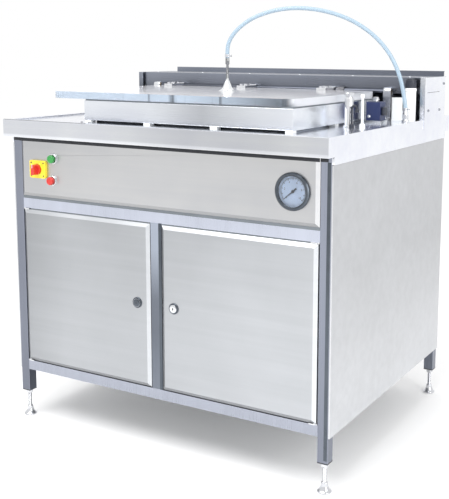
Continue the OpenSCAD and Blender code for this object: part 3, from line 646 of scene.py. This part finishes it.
def make_hose():
    """The clear hose that arches from the stem on the lid to the socket on the worktop."""
    way = (SOCKET - STEM).normalized()
    points = curved([(*(STEM + way * along * MM), z * MM) for along, z in HOSE_ROUTE], HOSE_STEPS)
    bm = bmesh.new()
    tube(bm, points, HOSE_WIDTH / 2, HOSE_SIDES)
    hose = piece("suction_hose", bm, "hose_clear")
    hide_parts("vacuum_hose")
    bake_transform(hose)


CLAMPS = [("stem_clamp", (*STEM, 1.104), "lid"), ("socket_clamp", (*SOCKET, 0.950), "cabinet")]
CLAMP_BORE = 0.0061
CLAMP_RADIUS = 0.0078
CLAMP_HEIGHT = 0.008
CLAMP_LUG = (0.007, 0.008, 0.006)
LUG_AT = Vector((0.010, 0, 0.004))
LUG_SCREW = [(0, 0.0025), (0.003, 0.0025), (0.004, 0.0018)]
LUG_SCREW_AT = Vector((0.0105, -0.004, 0.004))


def make_hose_clamps():
    """Band clamps, each with its screw, where the hose meets the stem and the socket."""
    for name, point, body in CLAMPS:
        bm = bmesh.new()
        washer(bm, CLAMP_BORE, CLAMP_RADIUS, CLAMP_HEIGHT, placed(point, UP), 40)
        block(bm, CLAMP_LUG, placed(Vector(point) + LUG_AT, UP), 0.001)
        turned(bm, LUG_SCREW, placed(Vector(point) + LUG_SCREW_AT, FRONT), 16)
        piece(name, bm, "fastener_steel", body)


# ---------------------------------------------------------------- fasteners

def screw(bm, at, facing, radius):
    """Adds a button-head screw with a hexagon socket."""
    turned(bm, [
        (0, radius), (0.35 * radius, radius), (0.6 * radius, 0.82 * radius), (0.7 * radius, 0.6 * radius),
        (0.7 * radius, hexagon(0.42 * radius)), (0.3 * radius, hexagon(0.42 * radius)),
    ], placed(at, facing), 24)


def screws(name, points, facing, radius, slot="fastener_steel"):
    """A piece of the cabinet made of equal screws that all face the same way."""
    bm = bmesh.new()
    for point in points:
        screw(bm, Vector(point), facing, radius)
    piece(name, bm, slot, "cabinet")


# Screw head radii
SHEET_SCREW = 0.004
HOOD_SCREW = 0.0035
PLATE_SCREW = 0.0022
# Distance back from the front, and height, on each end plate
END_SCREWS = [(0.241, 0.946), (0.343, 0.944), (0.379, 1.024)]
REAR_INSET = 0.015
REAR_SIDE_ROWS = spaced(0.3, 0.72, 4)
HOOD_ROW_Y = 0.24
HOOD_INSET = 0.06
PEDESTALS_X = (-0.445, 0.415)
PLATE_INSET = 0.007
LEDGE_Z = 0.916


def make_screws():
    """The screws of the end plates, the rear panel, the hood, the hinge, the switch and the chamber."""
    low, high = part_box("end_plates")
    for side, x, facing in (("right", high.x, RIGHT), ("left", low.x, -RIGHT)):
        screws("end_screws_" + side, [(x, y, z) for y, z in END_SCREWS], facing, SHEET_SCREW, "latch_metal")
    low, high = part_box("rear_panel")
    sides = (low.x + REAR_INSET, high.x - REAR_INSET)
    ends = (low.z + REAR_INSET, high.z - REAR_INSET)
    around = [(x, z) for x in spaced(*sides, 6) for z in ends]
    around += [(x, z) for x in sides for z in REAR_SIDE_ROWS]
    screws("rear_screws", [(x, high.y, z) for x, z in around], BACK, SHEET_SCREW)
    low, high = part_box("rear_hood")
    row = spaced(low.x + HOOD_INSET, high.x - HOOD_INSET, 6)
    screws("hood_screws", [(x, HOOD_ROW_Y, high.z) for x in row], UP, HOOD_SCREW)
    low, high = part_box("hinge_pedestals")
    foot = [(x, low.y + 0.008, low.z + 0.006) for x in PEDESTALS_X]
    screws("pedestal_screws", foot, UP, SHEET_SCREW)
    low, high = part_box("switch_plate")
    screws("switch_screws", [
        (x, low.y, z)
        for x in (low.x + PLATE_INSET, high.x - PLATE_INSET)
        for z in (low.z + PLATE_INSET, high.z - PLATE_INSET)
    ], FRONT, PLATE_SCREW, "needle_black")
    low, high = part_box("chamber_tub")
    ledge = [(x, low.y - 0.008, LEDGE_Z) for x in (low.x - 0.003, low.x + 0.024)]
    screws("chamber_screws", ledge, UP, SHEET_SCREW, "spring_steel")


# ---------------------------------------------------------------- controls

LATCH_HEAD = 0.012
LATCH_RING = (0.0122, 0.0155, 0.0025)
LATCH_FACE = [(0, 0.0105), (0.0008, 0.0105), (0.0014, 0.0098), (0.0016, 0.006)]
DOOR_FACE_Y = -0.421
KEY_SLOT = (0.0022, 0.0075, 0.0006)
KEY_HOLE = [(0, 0.0022), (0.0006, 0.002)]


def make_escutcheons():
    """A dark pressed ring round each latch, its raised face, and the key slot in that."""
    # The latch faces are the same part: dark metal on the left as painted shade, bright chrome on the right
    # as a painted reflection
    for side, painted_face_look in (("left", "gauge_metal"), ("right", "bezel_chrome")):
        low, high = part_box(side + "_latch")
        x, z = middle(side + "_latch").x, high.z - LATCH_HEAD
        face = low.y
        bm = bmesh.new()
        washer(bm, *LATCH_RING, placed((x, DOOR_FACE_Y, z), FRONT))
        piece(side + "_latch_ring", bm, "gauge_metal", "door_" + side)
        bm = bmesh.new()
        turned(bm, LATCH_FACE, placed((x, face, z), FRONT))
        piece(side + "_latch_face", bm, painted_face_look, "latch_" + side)
        bm = bmesh.new()
        block(bm, KEY_SLOT, placed((x, face - 0.0018, z), FRONT), 0.0002)
        turned(bm, KEY_HOLE, placed((x, face - 0.0015, z), FRONT), 16)
        piece(side + "_key_slot", bm, "needle_black", "latch_" + side)


DIAL_START = math.radians(220)
DIAL_SWEEP = math.radians(260)
DIAL_PARTS = 50
DIAL_LIFT = 0.0002
DIAL_RADIUS = 0.0345
ARC_WIDTH = 0.0007
# Length and width of a tick
LONG_TICK = (0.0052, 0.0012)
SHORT_TICK = (0.0030, 0.0006)
FIGURES = 6
FIGURE_SIZE = 0.0075
FIGURE_RADIUS = 0.0245


def dial_place():
    """The dial's face, with X to the right, Y up and Z towards the operator."""
    x, _, z = middle("gauge_dial")
    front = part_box("gauge_dial")[0].y
    return Matrix.Translation((x, front, z)) @ Matrix.Rotation(math.pi / 2, 4, "X")


def make_dial_marks():
    """Tick marks, an arc and plain numbers on the dial."""
    bm = bmesh.new()
    face = dial_place()
    for k in range(DIAL_PARTS + 1):
        a = DIAL_START - DIAL_SWEEP * k / DIAL_PARTS
        size = (*(SHORT_TICK if k % 5 else LONG_TICK), DIAL_LIFT)
        turn = Matrix.Rotation(a, 4, "Z")
        spot = Matrix.Translation((DIAL_RADIUS - size[0] / 2, 0, DIAL_LIFT / 2))
        block(bm, size, face @ turn @ spot)
    arc = DIAL_RADIUS * DIAL_SWEEP / (DIAL_PARTS * 2)
    spot = Matrix.Translation((DIAL_RADIUS, 0, DIAL_LIFT / 2))
    for k in range(DIAL_PARTS * 2):
        a = DIAL_START - DIAL_SWEEP * (k + 0.5) / (DIAL_PARTS * 2)
        turn = Matrix.Rotation(a, 4, "Z")
        block(bm, (ARC_WIDTH, arc * 1.03, DIAL_LIFT), face @ turn @ spot)
    piece("dial_ticks", bm, "needle_black", "cabinet")
    bm = bmesh.new()
    for k in range(FIGURES):
        a = DIAL_START - DIAL_SWEEP * k / (FIGURES - 1)
        curve = bpy.data.curves.new("figure", "FONT")
        curve.body = str(2 * k)
        curve.size = FIGURE_SIZE
        curve.extrude = DIAL_LIFT / 2
        curve.align_x = curve.align_y = "CENTER"
        carrier = bpy.data.objects.new("figure", curve)
        bpy.context.scene.collection.objects.link(carrier)
        bpy.context.view_layer.update()
        made = carrier.evaluated_get(bpy.context.evaluated_depsgraph_get())
        mesh = bpy.data.meshes.new_from_object(made)
        spot = Vector((FIGURE_RADIUS * math.cos(a), FIGURE_RADIUS * math.sin(a), DIAL_LIFT / 2))
        mesh.transform(face @ Matrix.Translation(spot))
        bm.from_mesh(mesh)
        bpy.data.objects.remove(carrier)
        bpy.data.curves.remove(curve)
        bpy.data.meshes.remove(mesh)
    piece("dial_figures", bm, "needle_black", "cabinet")


GAUGE_RING = (0.0392, 0.0409, 0.0012)


def make_gauge_rim():
    """The thin ring that holds the gauge's glass."""
    x, _, z = middle("gauge_case")
    bm = bmesh.new()
    washer(bm, *GAUGE_RING, placed((x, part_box("gauge_glass")[0].y, z), FRONT), 64)
    piece("gauge_inner_ring", bm, "gauge_metal", "cabinet")


KNOB_LINE = (0.0016, 0.011, 0.0008)
KNOB_LINE_UP = 0.011
COLLAR_GAP = 0.0015
COLLAR_WIDTH = 0.003
COLLAR_HEIGHT = 0.0012


def make_knob_details():
    """The pointer line on the main switch's grip, and a raised collar round its knob."""
    low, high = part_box("switch_knob")
    x, _, z = middle("switch_knob")
    bm = bmesh.new()
    block(bm, KNOB_LINE, placed((x, low.y - 0.0002, z + KNOB_LINE_UP), FRONT), 0.0002)
    piece("knob_pointer", bm, "white_plastic", "knob")
    bm = bmesh.new()
    inner = (high.x - low.x) / 2 + COLLAR_GAP
    at = placed((x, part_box("switch_plate")[0].y, z), FRONT)
    washer(bm, inner, inner + COLLAR_WIDTH, COLLAR_HEIGHT, at, 56)
    piece("switch_collar", bm, "yellow_plastic", "cabinet")


CAP_RIM = (0.0078, 0.0112, 0.0012)
BEZEL_RING = (0.0128, 0.0152, 0.0022)


def make_button_details():
    """A rim on each push-button's cap, and a plain ring round it."""
    for colour in ("green", "red"):
        x, _, z = middle(colour + "_button")
        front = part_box(colour + "_button")[0].y
        bm = bmesh.new()
        washer(bm, *CAP_RIM, placed((x, front, z), FRONT))
        piece(colour + "_cap_rim", bm, colour + "_plastic", "button_" + colour)
        bm = bmesh.new()
        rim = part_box("button_bezels")[0].y
        washer(bm, *BEZEL_RING, placed((x, rim, z), FRONT), 60)
        piece(colour + "_bezel_ring", bm, "bezel_chrome", "cabinet")


# ---------------------------------------------------------------- worktop fittings

FLANGE_BOLTS = 0.0145
RISER_NUT = [(0, hexagon(0.0125)), (0.008, hexagon(0.0125)), (0.0095, 0.0115)]
VENT_FOOT = (0.445, -0.130)
VENT_HOOK = [
    (0, 0, 0.002), (0, 0, 0.025), (0, 0, 0.046), (0.001, 0, 0.056), (0.006, 0.002, 0.061),
    (0.011, 0.004, 0.059), (0.013, 0.005, 0.050),
]
VENT_RADIUS = 0.0032
VENT_NUT = [(0, hexagon(0.0065)), (0.009, hexagon(0.0065)), (0.011, 0.005)]
VENT_CAP = [(0, 0.0058), (0.007, 0.0058), (0.008, 0.0048)]
LINE_FOOT = (0.470, -0.115)
LINE_RISE = (0.010, 0.04, 0.07, 0.085)
LINE_RADIUS = 0.0035
LINE_NUT = [(0, hexagon(0.0070)), (0.010, hexagon(0.0070)), (0.012, 0.0055)]
LINE_CAP = [(0.083, 0.0055), (0.090, 0.0055), (0.092, 0.004)]


def make_riser_details():
    """The riser's flange bolts and top nut, the hooked vent tube beside it and the thin air line."""
    low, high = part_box("vacuum_riser")
    x, y, _ = middle("vacuum_riser")
    deck = low.z
    bm = bmesh.new()
    for k in range(4):
        a = math.pi / 4 + math.pi / 2 * k
        out = Vector((FLANGE_BOLTS * math.cos(a), FLANGE_BOLTS * math.sin(a), 0.004))
        screw(bm, Vector((x, y, deck)) + out, UP, PLATE_SCREW)
    piece("riser_screws", bm, "fastener_steel", "cabinet")
    bm = bmesh.new()
    turned(bm, RISER_NUT, placed((x, y, high.z), UP), 48)
    piece("riser_nut", bm, "fastener_steel", "cabinet")
    foot = Vector((*VENT_FOOT, deck))
    bm = bmesh.new()
    hook = [foot + Vector(point) for point in VENT_HOOK]
    tube(bm, curved(hook, 4), VENT_RADIUS)
    turned(bm, VENT_NUT, placed(foot, UP), 48)
    turned(bm, VENT_CAP, placed(hook[-1], -UP), 24)
    piece("vent_tube", bm, "black_plastic", "cabinet")
    line = Vector((*LINE_FOOT, deck))
    bm = bmesh.new()
    turned(bm, LINE_NUT, placed(line, UP), 48)
    tube(bm, [line + Vector((0, 0, z)) for z in LINE_RISE], LINE_RADIUS)
    turned(bm, LINE_CAP, placed(line, UP), 24)
    piece("air_line", bm, "white_plastic", "cabinet")


COIL_NUT = [
    (0, 0.011), (0.002, 0.011), (0.002, hexagon(0.0075)), (0.008, hexagon(0.0075)), (0.009, 0.006),
]
COIL_PORT = [(0, 0.0045), (0.003, 0.0045), (0.004, 0.0035)]
COIL_PLUG = (0.010, 0.026, 0.024)


def make_valve_details():
    """The coil's nut on the valve block, its small port and its plug."""
    low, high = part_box("solenoid_coil")
    x, y, z = middle("solenoid_coil")
    bm = bmesh.new()
    turned(bm, COIL_NUT, placed((x, y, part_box("valve_block")[1].z), UP), 48)
    turned(bm, COIL_PORT, placed((low.x + 0.010, low.y, low.z + 0.012), FRONT), 24)
    piece("coil_fittings", bm, "fastener_steel", "cabinet")
    bm = bmesh.new()
    block(bm, COIL_PLUG, placed((high.x + COIL_PLUG[0] / 2, y, z), UP), 0.002)
    piece("coil_plug", bm, "black_plastic", "cabinet")


RIB_DEPTH = 0.0006
RIBS = 20
GRIP_FROM, GRIP_TO = 0.004, 0.016
BOWL_COLLAR = 0.008


def make_filter_details():
    """Ribs round the filter's cap and the collar that holds its bowl."""
    low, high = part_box("filter_cap")
    x, y, _ = middle("filter_cap")
    radius = (high.x - low.x) / 2
    bm = bmesh.new()
    ribbed = lobed(radius, RIB_DEPTH, RIBS)
    turned(bm, [(GRIP_FROM, ribbed), (GRIP_TO, ribbed)], placed((x, y, low.z), UP), 6 * RIBS)
    piece("filter_grip", bm, "black_plastic", "cabinet")
    bm = bmesh.new()
    washer(bm, radius - 0.0005, radius + 0.0013, BOWL_COLLAR, placed((x, y, low.z - 0.009), UP), 56)
    piece("filter_collar", bm, "white_plastic", "cabinet")


STEM_RING = (0.0205, 0.0265, 0.0015)
STEM_SCREWS = 6
STEM_SCREW = 0.002
STEM_SCREWS_OUT = 0.018


def make_lid_details():
    """A bright ring with six screws round the hose stem's foot."""
    x, y, _ = middle("hose_stem")
    foot = Vector((x, y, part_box("hose_stem")[0].z))
    bm = bmesh.new()
    washer(bm, *STEM_RING, placed(foot, UP), 56)
    for k in range(STEM_SCREWS):
        a = 2 * math.pi / STEM_SCREWS * k
        out = Vector((STEM_SCREWS_OUT * math.cos(a), STEM_SCREWS_OUT * math.sin(a), 0.004))
        screw(bm, foot + out, UP, STEM_SCREW)
    piece("stem_flange_ring", bm, "machined_steel", "lid")


# ---------------------------------------------------------------- strips: painted shade, trims and seams

STRIP_ROUND = 0.0003
# How far a thin skin or seam stands off its sheet
SKIN = 0.0006
# Lowest and highest points of strips, and where others start and end
APRON_Z = (0.8505, 0.8700)
APRON_SHADE_Z = (0.8565, 0.8655)
POST_SHADE_Z = (0.09, 0.856)
RAIL_TOP = 0.685
DOOR_RETURN = 0.022
DECK_Z = 0.921
FLANGE = 0.016
SEAM_Y = (0.229, 0.338)
SEAM_Z = (0.9995, 1.0015)
RIM_SHADOW_END_X = -0.22


def strips(name, slot, corners):
    """Makes a piece of the cabinet out of strips, each between two corners."""
    bm = bmesh.new()
    for low, high in corners:
        low, high = Vector(low), Vector(high)
        block(bm, high - low, Matrix.Translation((low + high) / 2), STRIP_ROUND)
    piece(name, bm, slot, "cabinet")


def make_gap_shade_strips():
    """Dark strips of painted shade in the gaps over and beside the doors and under the control panel."""
    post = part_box("corner_posts")[0].y
    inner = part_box("centre_post")
    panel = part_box("control_panel")
    low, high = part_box("left_door")[0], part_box("right_door")[1]
    found = [((panel[0].x, post + 0.0004, RAIL_TOP), (panel[1].x, post + 0.004, panel[0].z))]
    for left, right in ((low.x + DOOR_RETURN, inner[0].x), (inner[1].x, high.x - DOOR_RETURN)):
        found.append(((left, post + 0.001, high.z + 0.0003), (right, post + 0.004, inner[1].z)))
    for x in (low.x - 0.004, high.x + 0.0015):
        found.append(((x, post + 0.0035, low.z + 0.003), (x + 0.0025, post + 0.007, high.z - 0.003)))
    strips("gap_shade_strips", "silicone", found)


def make_post_shade_strips():
    """Dark strips of painted shadow down the fronts of the right corner post and the centre post, near their
    right edges.
    """
    post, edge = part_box("corner_posts")[0].y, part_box("corner_posts")[1].x
    low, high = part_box("centre_post")
    strips("post_shade_strips", "gauge_metal", [
        ((edge - 0.012, post - SKIN, POST_SHADE_Z[0]), (edge - 0.0025, post, POST_SHADE_Z[1])),
        ((high.x - 0.010, post - SKIN, low.z), (high.x - 0.0002, post, high.z)),
    ])


def make_worktop_trim():
    """A dark strip of painted shadow under the worktop's front, the plates that close its side skirts, a
    dark line of painted shadow along its rim, and the seam between the right end plate and the worktop."""
    post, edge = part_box("corner_posts")[0].y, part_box("corner_posts")[1].x
    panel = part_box("control_panel")
    spans = (
        (-edge, panel[0].x, post),
        (panel[0].x, panel[1].x, panel[0].y),
        (panel[1].x, edge - 0.010, post),
    )
    # The dark strip under the worktop's front is painted shadow, below the apron's overhang
    under, over = APRON_SHADE_Z
    strips("worktop_shade_strip", "black_rubber", [
        ((left, y - 0.0015, under), (right, y - 0.0001, over)) for left, right, y in spans
    ])
    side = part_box("end_plates")[1].x
    strips("end_seam", "latch_metal", [
        ((side, SEAM_Y[0], SEAM_Z[0]), (side + SKIN, SEAM_Y[1], SEAM_Z[1])),
    ])
    low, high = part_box("worktop")
    skirt = high.x - 0.0003
    under, over = APRON_Z
    strips("skirt_ends", "top_steel", [
        ((left, post - 0.0012, under), (right, post - 0.0002, over))
        for left, right in ((edge, skirt), (-skirt, -edge))
    ])
    # A dark line of painted shadow along the left part of the rim's front
    near = low + Vector((0.002, 0.001, 0))
    strips("rim_shadow_line", "latch_metal", [
        ((near.x, near.y, high.z - 0.0002), (RIM_SHADOW_END_X, near.y + 0.003, high.z + 0.0012)),
    ])


def make_flange_skin():
    """The hood's finish, with its painted shade, over the left end plate's front flange."""
    low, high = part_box("end_plates")
    strips("flange_skin", "hood_steel", [
        ((low.x, low.y - SKIN, DECK_Z), (low.x + FLANGE, low.y, high.z)),
    ])


# ---------------------------------------------------------------- rear and inside

LOUVRE = (0.150, 0.014, 0.007)
LOUVRE_X = (-0.28, -0.09)
LOUVRE_Z = spaced(0.30, 0.52, 9)
LOUVRE_STEPS = 6
LOUVRE_TAPER = 0.006
LOUVRE_RISE = 0.55
LOUVRE_SHEET = 0.0012


def make_louvres():
    """Pressed cooling louvres in the rear panel, behind the motor."""
    bm = bmesh.new()
    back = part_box("rear_panel")[1].y
    length, height, depth = LOUVRE
    steps = LOUVRE_STEPS
    for x in LOUVRE_X:
        for z in LOUVRE_Z:
            rows = []
            for k in range(steps + 1):
                a = math.pi / 2 * k / steps
                shrink = LOUVRE_TAPER * (k / steps)
                y = back + depth * math.sin(a)
                level = z - height / 2 + height * (1 - math.cos(a)) * LOUVRE_RISE
                rows.append([(x - length / 2 + shrink, y, level), (x + length / 2 - shrink, y, level)])
            outer = [[bm.verts.new(p) for p in row] for row in rows]
            inner = [[bm.verts.new((p[0], p[1] - LOUVRE_SHEET, p[2])) for p in row] for row in rows]
            for a, b in zip(outer, outer[1:]):
                bm.faces.new((a[0], a[1], b[1], b[0]))
            for a, b in zip(inner, inner[1:]):
                bm.faces.new((a[1], a[0], b[0], b[1]))
            for side in (0, 1):
                for k in range(steps):
                    bm.faces.new((outer[k][side], outer[k + 1][side], inner[k + 1][side], inner[k][side]))
            for k in (0, steps):
                bm.faces.new((outer[k][0], outer[k][1], inner[k][1], inner[k][0]))
    piece("rear_louvres", bm, "panel_steel", "cabinet")


MOTOR_X, MOTOR_Y, MOTOR_Z = -0.175, 0.060, 0.308
FINS = 28
FIN = (0.215, 0.012, 0.003)
FIN_RADIUS = 0.082
# The top and the foot of the motor, in degrees round its axis, carry no fins
BARE_SIDES = ((55, 125), (235, 305))
GRILLE_RADII = [0.016 + 0.013 * k for k in range(5)]
GRILLE_WIDTH = 0.004
GRILLE_DEPTH = 0.003
PUMP_BOLT = 0.0055
PUMP_BOLT_INSET = 0.022
PUMP_LAST_X = 0.048
OIL_WINDOW = [(0, 0.016), (0.004, 0.016), (0.006, 0.013)]
OIL_WINDOW_X, OIL_WINDOW_Z = 0.09, 0.26


def make_motor_details():
    """Cooling fins and a fan grille on the motor, and bolts and an oil window on the pump."""
    low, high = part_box("pump_motor")
    bm = bmesh.new()
    for k in range(FINS):
        a = 2 * math.pi * k / FINS
        if any(start < math.degrees(a) < end for start, end in BARE_SIDES):
            continue
        out = Vector((0, FIN_RADIUS * math.cos(a), FIN_RADIUS * math.sin(a)))
        spot = Matrix.Translation(Vector((MOTOR_X, MOTOR_Y, MOTOR_Z)) + out)
        block(bm, FIN, spot @ Matrix.Rotation(a, 4, "X"), 0.0008)
    piece("motor_fins", bm, "motor_paint", "cabinet")
    bm = bmesh.new()
    at = placed((low.x, MOTOR_Y, MOTOR_Z), -RIGHT)
    for ring in GRILLE_RADII:
        washer(bm, ring, ring + GRILLE_WIDTH, GRILLE_DEPTH, at, 48)
    piece("fan_grille", bm, "motor_paint", "cabinet")
    low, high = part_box("pump_body")
    bm = bmesh.new()
    for x in spaced(low.x + PUMP_BOLT_INSET, PUMP_LAST_X, 3):
        for y in (low.y + PUMP_BOLT_INSET, high.y - PUMP_BOLT_INSET):
            screw(bm, Vector((x, y, high.z - 0.001)), UP, PUMP_BOLT)
    turned(bm, OIL_WINDOW, placed((OIL_WINDOW_X, low.y, OIL_WINDOW_Z), FRONT))
    piece("pump_bolts", bm, "fastener_steel", "cabinet")


# ---------------------------------------------------------------- feet

THREAD_PITCH = 0.00175
THREAD_DEPTH = 0.0008
THREAD_ROWS = 4
THREAD_CREST = 0.006
THREAD_FROM = 0.0285
# The foot's turned profile below the thread, as height and radius
BELL = [
    (0, 0.0175), (0.0008, 0.0187), (0.002, 0.019), (0.003, 0.0189), (0.0042, 0.018), (0.005, 0.0168),
    (0.007, 0.0150), (0.0095, 0.0133), (0.012, 0.0117), (0.015, 0.0103), (0.018, 0.0095),
    (0.022, 0.0090), (0.0245, 0.0089), (0.026, 0.0086), (0.0275, 0.0072), (0.028, 0.0060),
]
FOOT_SIDES = 24


def thread(z):
    """The thread's radius at each angle, at that height."""
    def radius(a):
        turn = z / THREAD_PITCH - a / (2 * math.pi)
        return THREAD_CREST - THREAD_DEPTH * abs(2 * (turn % 1) - 1)

    return radius


def make_foot(name, body):
    """A bell-shaped levelling foot with a helical thread on its spindle."""
    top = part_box(name)[1].z
    x, y, _ = middle(name)
    rings = list(BELL)
    z = THREAD_FROM
    while z < top - 0.002:
        rings.append((z, thread(z)))
        z += THREAD_PITCH / THREAD_ROWS
    rings += [(top - 0.001, 0.0050), (top, 0.0042)]
    bm = bmesh.new()
    turned(bm, rings, placed((x, y, 0), UP), FOOT_SIDES)
    foot = piece(name + "_threaded", bm, "fastener_steel", body)
    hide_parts(name)


# ---------------------------------------------------------------- stage

FLOOR_SIZE = 40
FLOOR_DROP = 0.0005


def make_floor():
    """A plain pale floor that reaches past the view."""
    bm = bmesh.new()
    bmesh.ops.create_grid(bm, x_segments=1, y_segments=1, size=FLOOR_SIZE)
    mesh = bpy.data.meshes.new("floor")
    bm.to_mesh(mesh)
    bm.free()
    p = Paint("floor")
    p.set(Base_Color=(1.0, 1.0, 1.0), Roughness=1.0, Specular_IOR_Level=0.0)
    mesh.materials.append(p.material)
    floor = bpy.data.objects.new("floor", mesh)
    floor.location.z = -FLOOR_DROP
    bpy.context.scene.collection.objects.link(floor)


def area(name, at, target, size, power):
    """A white soft box at a place, turned to its target. Its size is in metres, its power in watts."""
    data = bpy.data.lights.new(name, "AREA")
    data.shape = "RECTANGLE"
    data.size, data.size_y = size
    data.energy = power
    lamp = bpy.data.objects.new(name, data)
    lamp.location = at
    lamp.rotation_euler = (Vector(target) - Vector(at)).to_track_quat("-Z", "Y").to_euler()
    bpy.context.scene.collection.objects.link(lamp)


SOFT_BOXES = {
    "overhead": ((-0.3, -1.6, 3.2), (0, 0, 0.6), (2.6, 2.0), 70),
    "right_side": ((3.4, -1.2, 1.5), (0.3, 0, 0.6), (1.4, 2.2), 45),
}


def make_light():
    """An even white room with two soft boxes, one overhead and one on the right."""
    world = bpy.data.worlds.new("studio")
    bpy.context.scene.world = world
    world.use_nodes = True
    back = world.node_tree.nodes["Background"]
    back.inputs["Color"].default_value = (1, 1, 1, 1)
    back.inputs["Strength"].default_value = 1.0
    for name, settings in SOFT_BOXES.items():
        area(name, *settings)
    bpy.context.scene.view_settings.view_transform = "Standard"


# ---------------------------------------------------------------- the scene

make_camera()
make_hose()
dress_nodes()
make_hose_clamps()
make_screws()
make_escutcheons()
make_dial_marks()
make_gauge_rim()
make_knob_details()
make_button_details()
make_riser_details()
make_valve_details()
make_filter_details()
make_lid_details()
make_gap_shade_strips()
make_post_shade_strips()
make_worktop_trim()
make_flange_skin()
make_louvres()
make_motor_details()
for end in ("front", "rear"):
    for side in ("left", "right"):
        make_foot(f"foot_{end}_{side}", f"foot_{end[0]}{side[0]}")
make_floor()
make_light()
